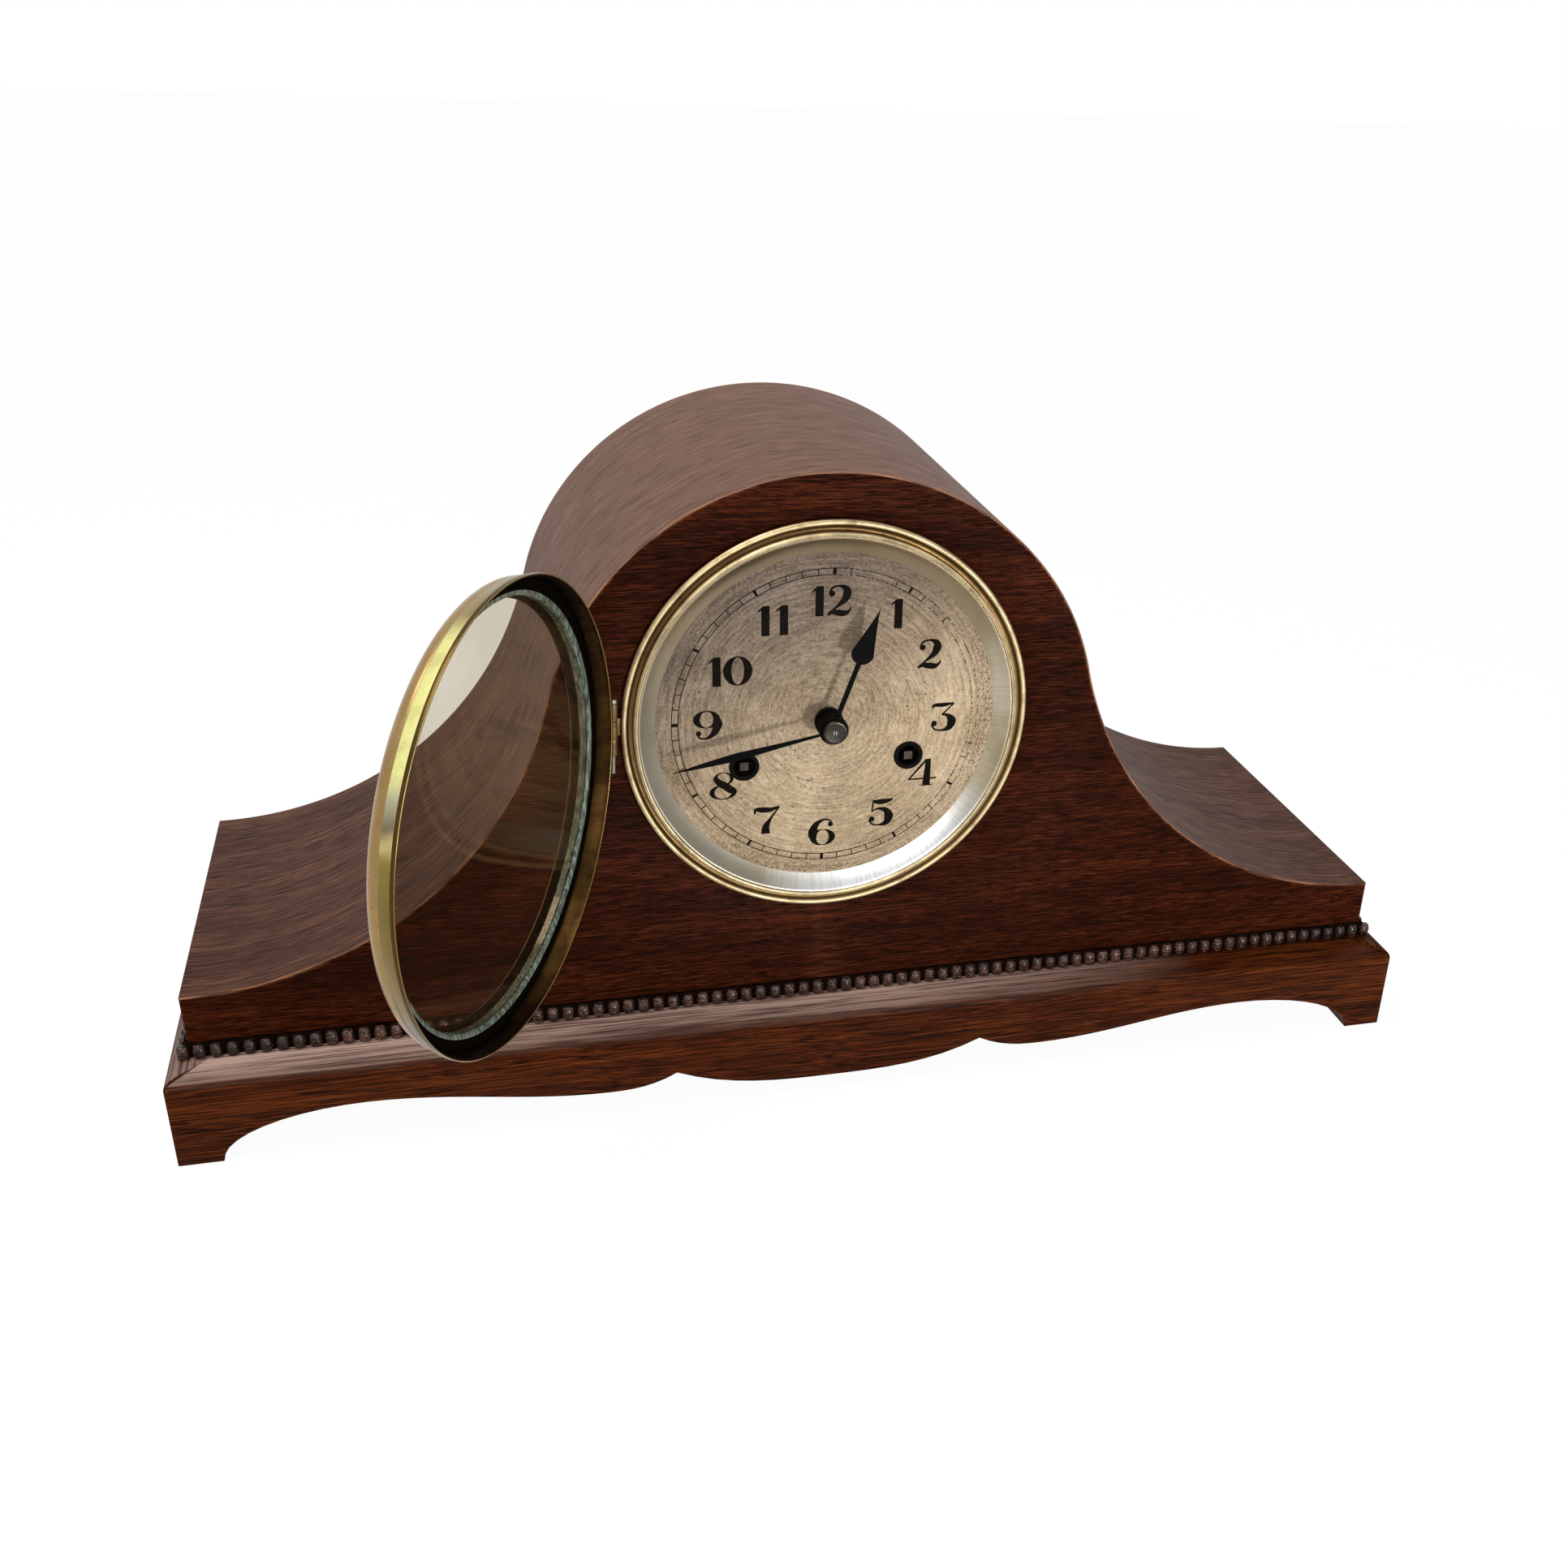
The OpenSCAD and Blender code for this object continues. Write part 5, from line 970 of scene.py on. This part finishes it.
# Hands
def hand_shape(bm, half_width, length, low, high, angle, start, steps):
    """A slim hand along a clockwise angle, with a half width given by a function of the distance."""
    s, c = sin(radians(angle)), cos(radians(angle))

    def place(u, v, h):
        return at_dial(v * s + u * c, h, v * c - u * s)

    rows = []
    for k in range(steps + 1):
        d = start + (length - start) * k / steps
        w = max(half_width(d), 0.05)
        edge = min(0.14, w * 0.5)
        near = w - edge * 0.4
        section = [(-w, low + 0.1), (-near, high - 0.1), (-w + edge, high), (0, high), (w - edge, high),
                   (near, high - 0.1), (w, low + 0.1), (near, low), (-near, low)]
        rows.append([bm.verts.new(place(u, d, h)) for u, h in section])
    join_rings(bm, rows)
    bm.faces.new(rows[0])
    bm.faces.new(rows[-1])


HOUR_TIP = 45.0
MINUTE_TIP = 56.5


def minute_width(d):
    wide = 33.0
    if d < wide:
        return 0.42 + 1.0 * (d / wide) ** 1.5
    t = (d - wide) / (MINUTE_TIP - wide)
    return 1.42 * (1 - t ** 1.4) + 0.03


def hour_width(d):
    drop_at, drop_r = 28.4, 4.0
    if d < drop_at - drop_r * 0.97:
        return 0.88
    if d < drop_at:
        return max(0.88, sqrt(max(0, drop_r ** 2 - (drop_at - d) ** 2)))
    t = (d - drop_at) / (HOUR_TIP - drop_at)
    return drop_r * (1 - t) ** 1.35 * (1 + 0.25 * t)


def hands():
    bm = bmesh.new()
    hand_shape(bm, hour_width, HOUR_TIP, 6.8, 7.38, HOUR_ANGLE, 3.2, 110)
    lathe(bm, [(3.44, 0.22), (4.8, 0.22), (5.05, 0.45), (5.05, 0.85), (4.85, 0.95), (5.05, 1.05),
               (5.05, 1.45), (4.8, 1.68), (4.45, 1.72), (4.4, 2.1), (4.4, 6.6), (4.6, 6.82), (4.6, 7.3),
               (4.4, 7.4), (3.44, 7.4)], SMALL_STEPS)
    make_object("hour_hand_blued", bm, HAND_BLACK, "hour", ("hour_hand",), 30)
    bm = bmesh.new()
    hand_shape(bm, minute_width, MINUTE_TIP, 9.4, 9.95, MINUTE_ANGLE, 2.5, 80)
    lathe(bm, [(1.54, 8.15), (4.9, 8.15), (5.1, 8.3), (5.1, 8.65), (4.95, 8.75), (4.95, 8.9), (5.1, 9.0),
               (5.05, 9.35), (4.5, 9.42), (4.5, 9.9), (4.3, 10.0), (1.54, 10.0)], SMALL_STEPS)
    make_object("minute_hand_blued", bm, HAND_BLACK, "centre", ("minute_hand",), 30)
    nut = [(1.54, 10.02), (4.0, 10.02), (4.2, 10.15), (4.2, 10.5), (4.08, 10.58), (4.2, 10.66), (4.2, 10.95),
           (4.05, 11.18), (3.8, 11.28), (3.45, 11.28), (3.35, 11.18), (3.2, 11.16), (0.0, 11.2), (0.0, 10.7),
           (1.5, 10.7)]
    turned("nut_turned", nut, GUNMETAL, "centre", ("hand_nut",), SMALL_STEPS, sharp=30)
    bm = bmesh.new()
    for x, z in ((-0.45, 0.1), (0.4, 0.0)):
        lines = ([(x - 0.12, z - 0.6), (x - 0.12, z + 0.6)], [(x + 0.12, z - 0.6), (x + 0.12, z + 0.6)])
        raised(bm, lines, lambda u, v, h: at_dial(u, h, v), 11.15, 11.27)
    mark = make_object("nut_slot_marks", bm, STEEL, "centre", (), 60)


# Glazed door, drawn closed and then turned to its open place
HINGE = next(j for j in frame["joints"] if j["name"] == "glazed_door_hinge")
OPEN = (Matrix.Translation(HINGE["pos_m"])
        @ Matrix.Rotation(radians(-HINGE["range_deg"][0]), 4, Vector(HINGE["axis"]))
        @ Matrix.Translation(-Vector(HINGE["pos_m"])))
LIP_H = 8.0
LIP_W = 7.1
DOOR_H = 13.6
OPENING_R = 63.5
GLASS_R = 66.3
PANE_R = 64.7
GLASS_H = 8.6
GLASS_T = 2.0
GLASS_RISE = 7.5
DOME_R = (GLASS_R ** 2 + GLASS_RISE ** 2) / (2 * GLASS_RISE)


def dome(r, lift=0.0):
    """Radius and height of the domed glass's inner face."""
    return r, GLASS_H + GLASS_RISE - DOME_R + sqrt(DOME_R ** 2 - r ** 2) + lift


def glazed_door():
    """Ring with its rounded lip, domed pane, the pane's edge and the bedding and putty behind it."""
    def lip(inset, count, tone):
        wide, high = LIP_W - inset, DOOR_H - LIP_H - inset
        return [(OPENING_R + wide * cos(a), LIP_H + high * sin(a), tone)
                for a in (radians(90 * k / count) for k in range(count + 1))]

    ring = [(71.55, 2.42, 0), (71.85, 2.42, 0), (71.98, 2.6, 0.66), (71.98, 3.7, 0.66), (71.86, 3.85, 0.66),
            (71.72, 3.95, 0.33), (71.68, 4.15, 0.33), (70.8, 7.6, 0.33), (70.66, 7.75, 0.33),
            (70.6, 7.9, 0.0)]
    ring += lip(0, 24, 0.0) + [(63.38, 13.4, 0.95), (63.42, 13.15, 0.95)] + lip(0.55, 20, 0.95)[::-1]
    ring += [(71.1, 4.0, 1.0), (71.4, 3.2, 1.0), (71.45, 2.6, 1.0), (71.5, 2.46, 0)]
    turned("door_brass_ring", ring, DOOR_BRASS, "glazed_door", ("door_ring",), FINE_STEPS, matrix=OPEN,
           sharp=50)
    inner = [dome(PANE_R * k / 24) for k in range(25)]
    outer = [dome(PANE_R * k / 24, GLASS_T) for k in range(25)]
    turned("door_pane", inner + outer[::-1], CLEAR_GLASS, "glazed_door", ("door_glass",), closed=False,
           matrix=OPEN)
    edge = [dome(64.75), dome(66.2), dome(66.28, 0.15), dome(66.28, GLASS_T - 0.2), dome(66.1, GLASS_T),
            dome(64.75, GLASS_T)]
    turned("pane_edge", edge, EDGE_GLASS, "glazed_door", ("door_glass",), matrix=OPEN)
    # Near-black bedding: painted shade in the channel behind the pane's edge
    bed = [(66.5, 7.42), (69.85, 7.42), (69.1, 8.5), (66.5, 8.5)]
    turned("bedding", bed, BEDDING_PAINTED_SHADE, "glazed_door", ("glass_bedding",), matrix=OPEN, sharp=50)
    fill = [(64.82, 8.3), (64.9, 7.95), (65.2, 7.7), (65.8, 7.52), (66.45, 7.48), (66.45, 8.5), (64.82, 8.5)]
    turned("putty", fill, EDGE_GLASS, "glazed_door", ("glass_bedding",), matrix=OPEN, sharp=50)


top_skin()
panels()
bead_moulding()
bezel()
dial_plate()
grommets()
numerals()
minute_track()
hands()
glazed_door()

# CAD nodes with rounded edges
DRESSED = {
    "plinth_front_rail": (PLINTH_WOOD, 0.5), "plinth_side_rails": (PLINTH_SIDE_WOOD, 0.5),
    "hinge_case_leaf": (HINGE_BRASS, 0.12), "hinge_door_leaf": (HINGE_BRASS, 0.12),
    "hinge_pin": (STEEL, 0.15), "back_door": (BACK_WOOD, 0.3), "turn_button": (HINGE_BRASS, 0.4),
    "rating_nut": (MOVEMENT_BRASS, 0.3), "pillar_nuts": (STEEL, 0.2), "gong_block": (DARK_IRON, 0.6),
}
for node, (material, bevel) in DRESSED.items():
    dress(node, material, bevel)

# CAD nodes that keep their own shape and get a material
PLAIN = {
    MAHOGANY: "end_boards",
    BACK_WOOD: "plinth_back_rail",
    RAW_WOOD: "base_board glue_blocks",
    HINGE_BRASS: "back_door_hinges",
    WINDING_STEEL: "going_arbor strike_arbor",
    STEEL: "cannon_pinion going_click strike_click anchor hammer strap_screws pendulum_rod",
    MOVEMENT_BRASS: """
        hour_wheel centre_arbor minute_wheel second_wheel third_wheel fourth_wheel escape_wheel
        going_barrel strike_barrel strike_second_wheel strike_pin_wheel strike_fourth_wheel
        warning_wheel fly movement_front_plate movement_back_plate pillars movement_straps back_cock
        pendulum_bob gong_rods""",
}
for material, nodes in PLAIN.items():
    for node in nodes.split():
        shown = frame["nodes"][node]
        shown.data.materials.clear()
        shown.data.materials.append(material)


# Stage, lights and camera
def stage_floor():
    """Pale floor that shows almost white, with the object's faint shadow."""
    bm = bmesh.new()
    bmesh.ops.create_grid(bm, x_segments=2, y_segments=2, size=6.0)
    mesh = mesh_from("floor", bm)
    floor = add_object("floor", mesh)
    s = Shader("pale_floor")
    speckle = s.noise(s.place(), 3.0, 2.0)
    base = s.ramp(speckle, [(0.3, (0.86, 0.86, 0.86)), (0.7, (0.88, 0.88, 0.88))])
    matte = s.node("BsdfDiffuse", {0: base})
    white = s.node("Emission", {0: (1, 1, 1, 1), 1: 1.04})
    mesh.materials.append(s.finish(s.blend(s.times(s.seen_rays(), 0.92), matte, white)))


def area_light(name, place, target, size, power, colour):
    light = bpy.data.lights.new(name, "AREA")
    light.shape = "RECTANGLE"
    light.size, light.size_y = size
    light.energy = power
    light.color = colour
    shown = add_object(name, light)
    shown.location = place
    shown.rotation_mode = "QUATERNION"
    shown.rotation_quaternion = (Vector(target) - Vector(place)).to_track_quat("-Z", "Y")


def studio():
    """A world that is white where it shows and softer where it lights, and three lamps."""
    world = bpy.data.worlds.new("studio")
    bpy.context.scene.world = world
    world.use_nodes = True
    s = Nodes(world.node_tree)
    soft = s.node("Background", {0: (1, 0.99, 0.97, 1), 1: 0.34})
    white = s.node("Background", {0: (1, 1, 1, 1), 1: 1.0})
    s.node("OutputWorld", {0: s.blend(s.seen_rays(), soft, white).outputs[0]})
    area_light("overhead", (-0.38, -0.12, 1.25), (-0.1, 0, 0.05), (0.8, 0.6), 8.5, (1, 0.98, 0.96))
    area_light("front_fill", (-0.25, -1.5, 0.6), (0, 0, 0.12), (0.8, 0.7), 4.2, (1, 0.97, 0.93))
    area_light("low_window", (0.2, -0.56, 0.055), (0, 0, 0.15), (0.07, 0.05), 1.6, (1, 0.98, 0.95))


# The photograph's camera: place, turns (yaw, pitch, roll) in degrees, lens and shift
CAMERA_PLACE = (-0.116, -0.5185, 0.3648)
CAMERA_TURNS = (15.84, 27.69, -2.49)
CAMERA_LENS = 37.78
CAMERA_SHIFT = (-0.0776, 0.0518)


def camera():
    data = bpy.data.cameras.new("view")
    data.sensor_width = 36
    data.lens = CAMERA_LENS
    data.shift_x, data.shift_y = CAMERA_SHIFT
    data.clip_start = 0.01
    shown = add_object("view", data)
    yaw, pitch, roll = (radians(a) for a in CAMERA_TURNS)
    forward = Vector((sin(yaw) * cos(pitch), cos(yaw) * cos(pitch), -sin(pitch)))
    right = Vector((cos(yaw), -sin(yaw), 0))
    down = forward.cross(right)
    turned_right = cos(roll) * right + sin(roll) * down
    turned_down = -sin(roll) * right + cos(roll) * down
    matrix = Matrix((turned_right, -turned_down, -forward)).transposed().to_4x4()
    matrix.translation = CAMERA_PLACE
    shown.matrix_world = matrix
    bpy.context.scene.camera = shown


stage_floor()
studio()
camera()
bpy.context.scene.view_settings.view_transform = "Standard"
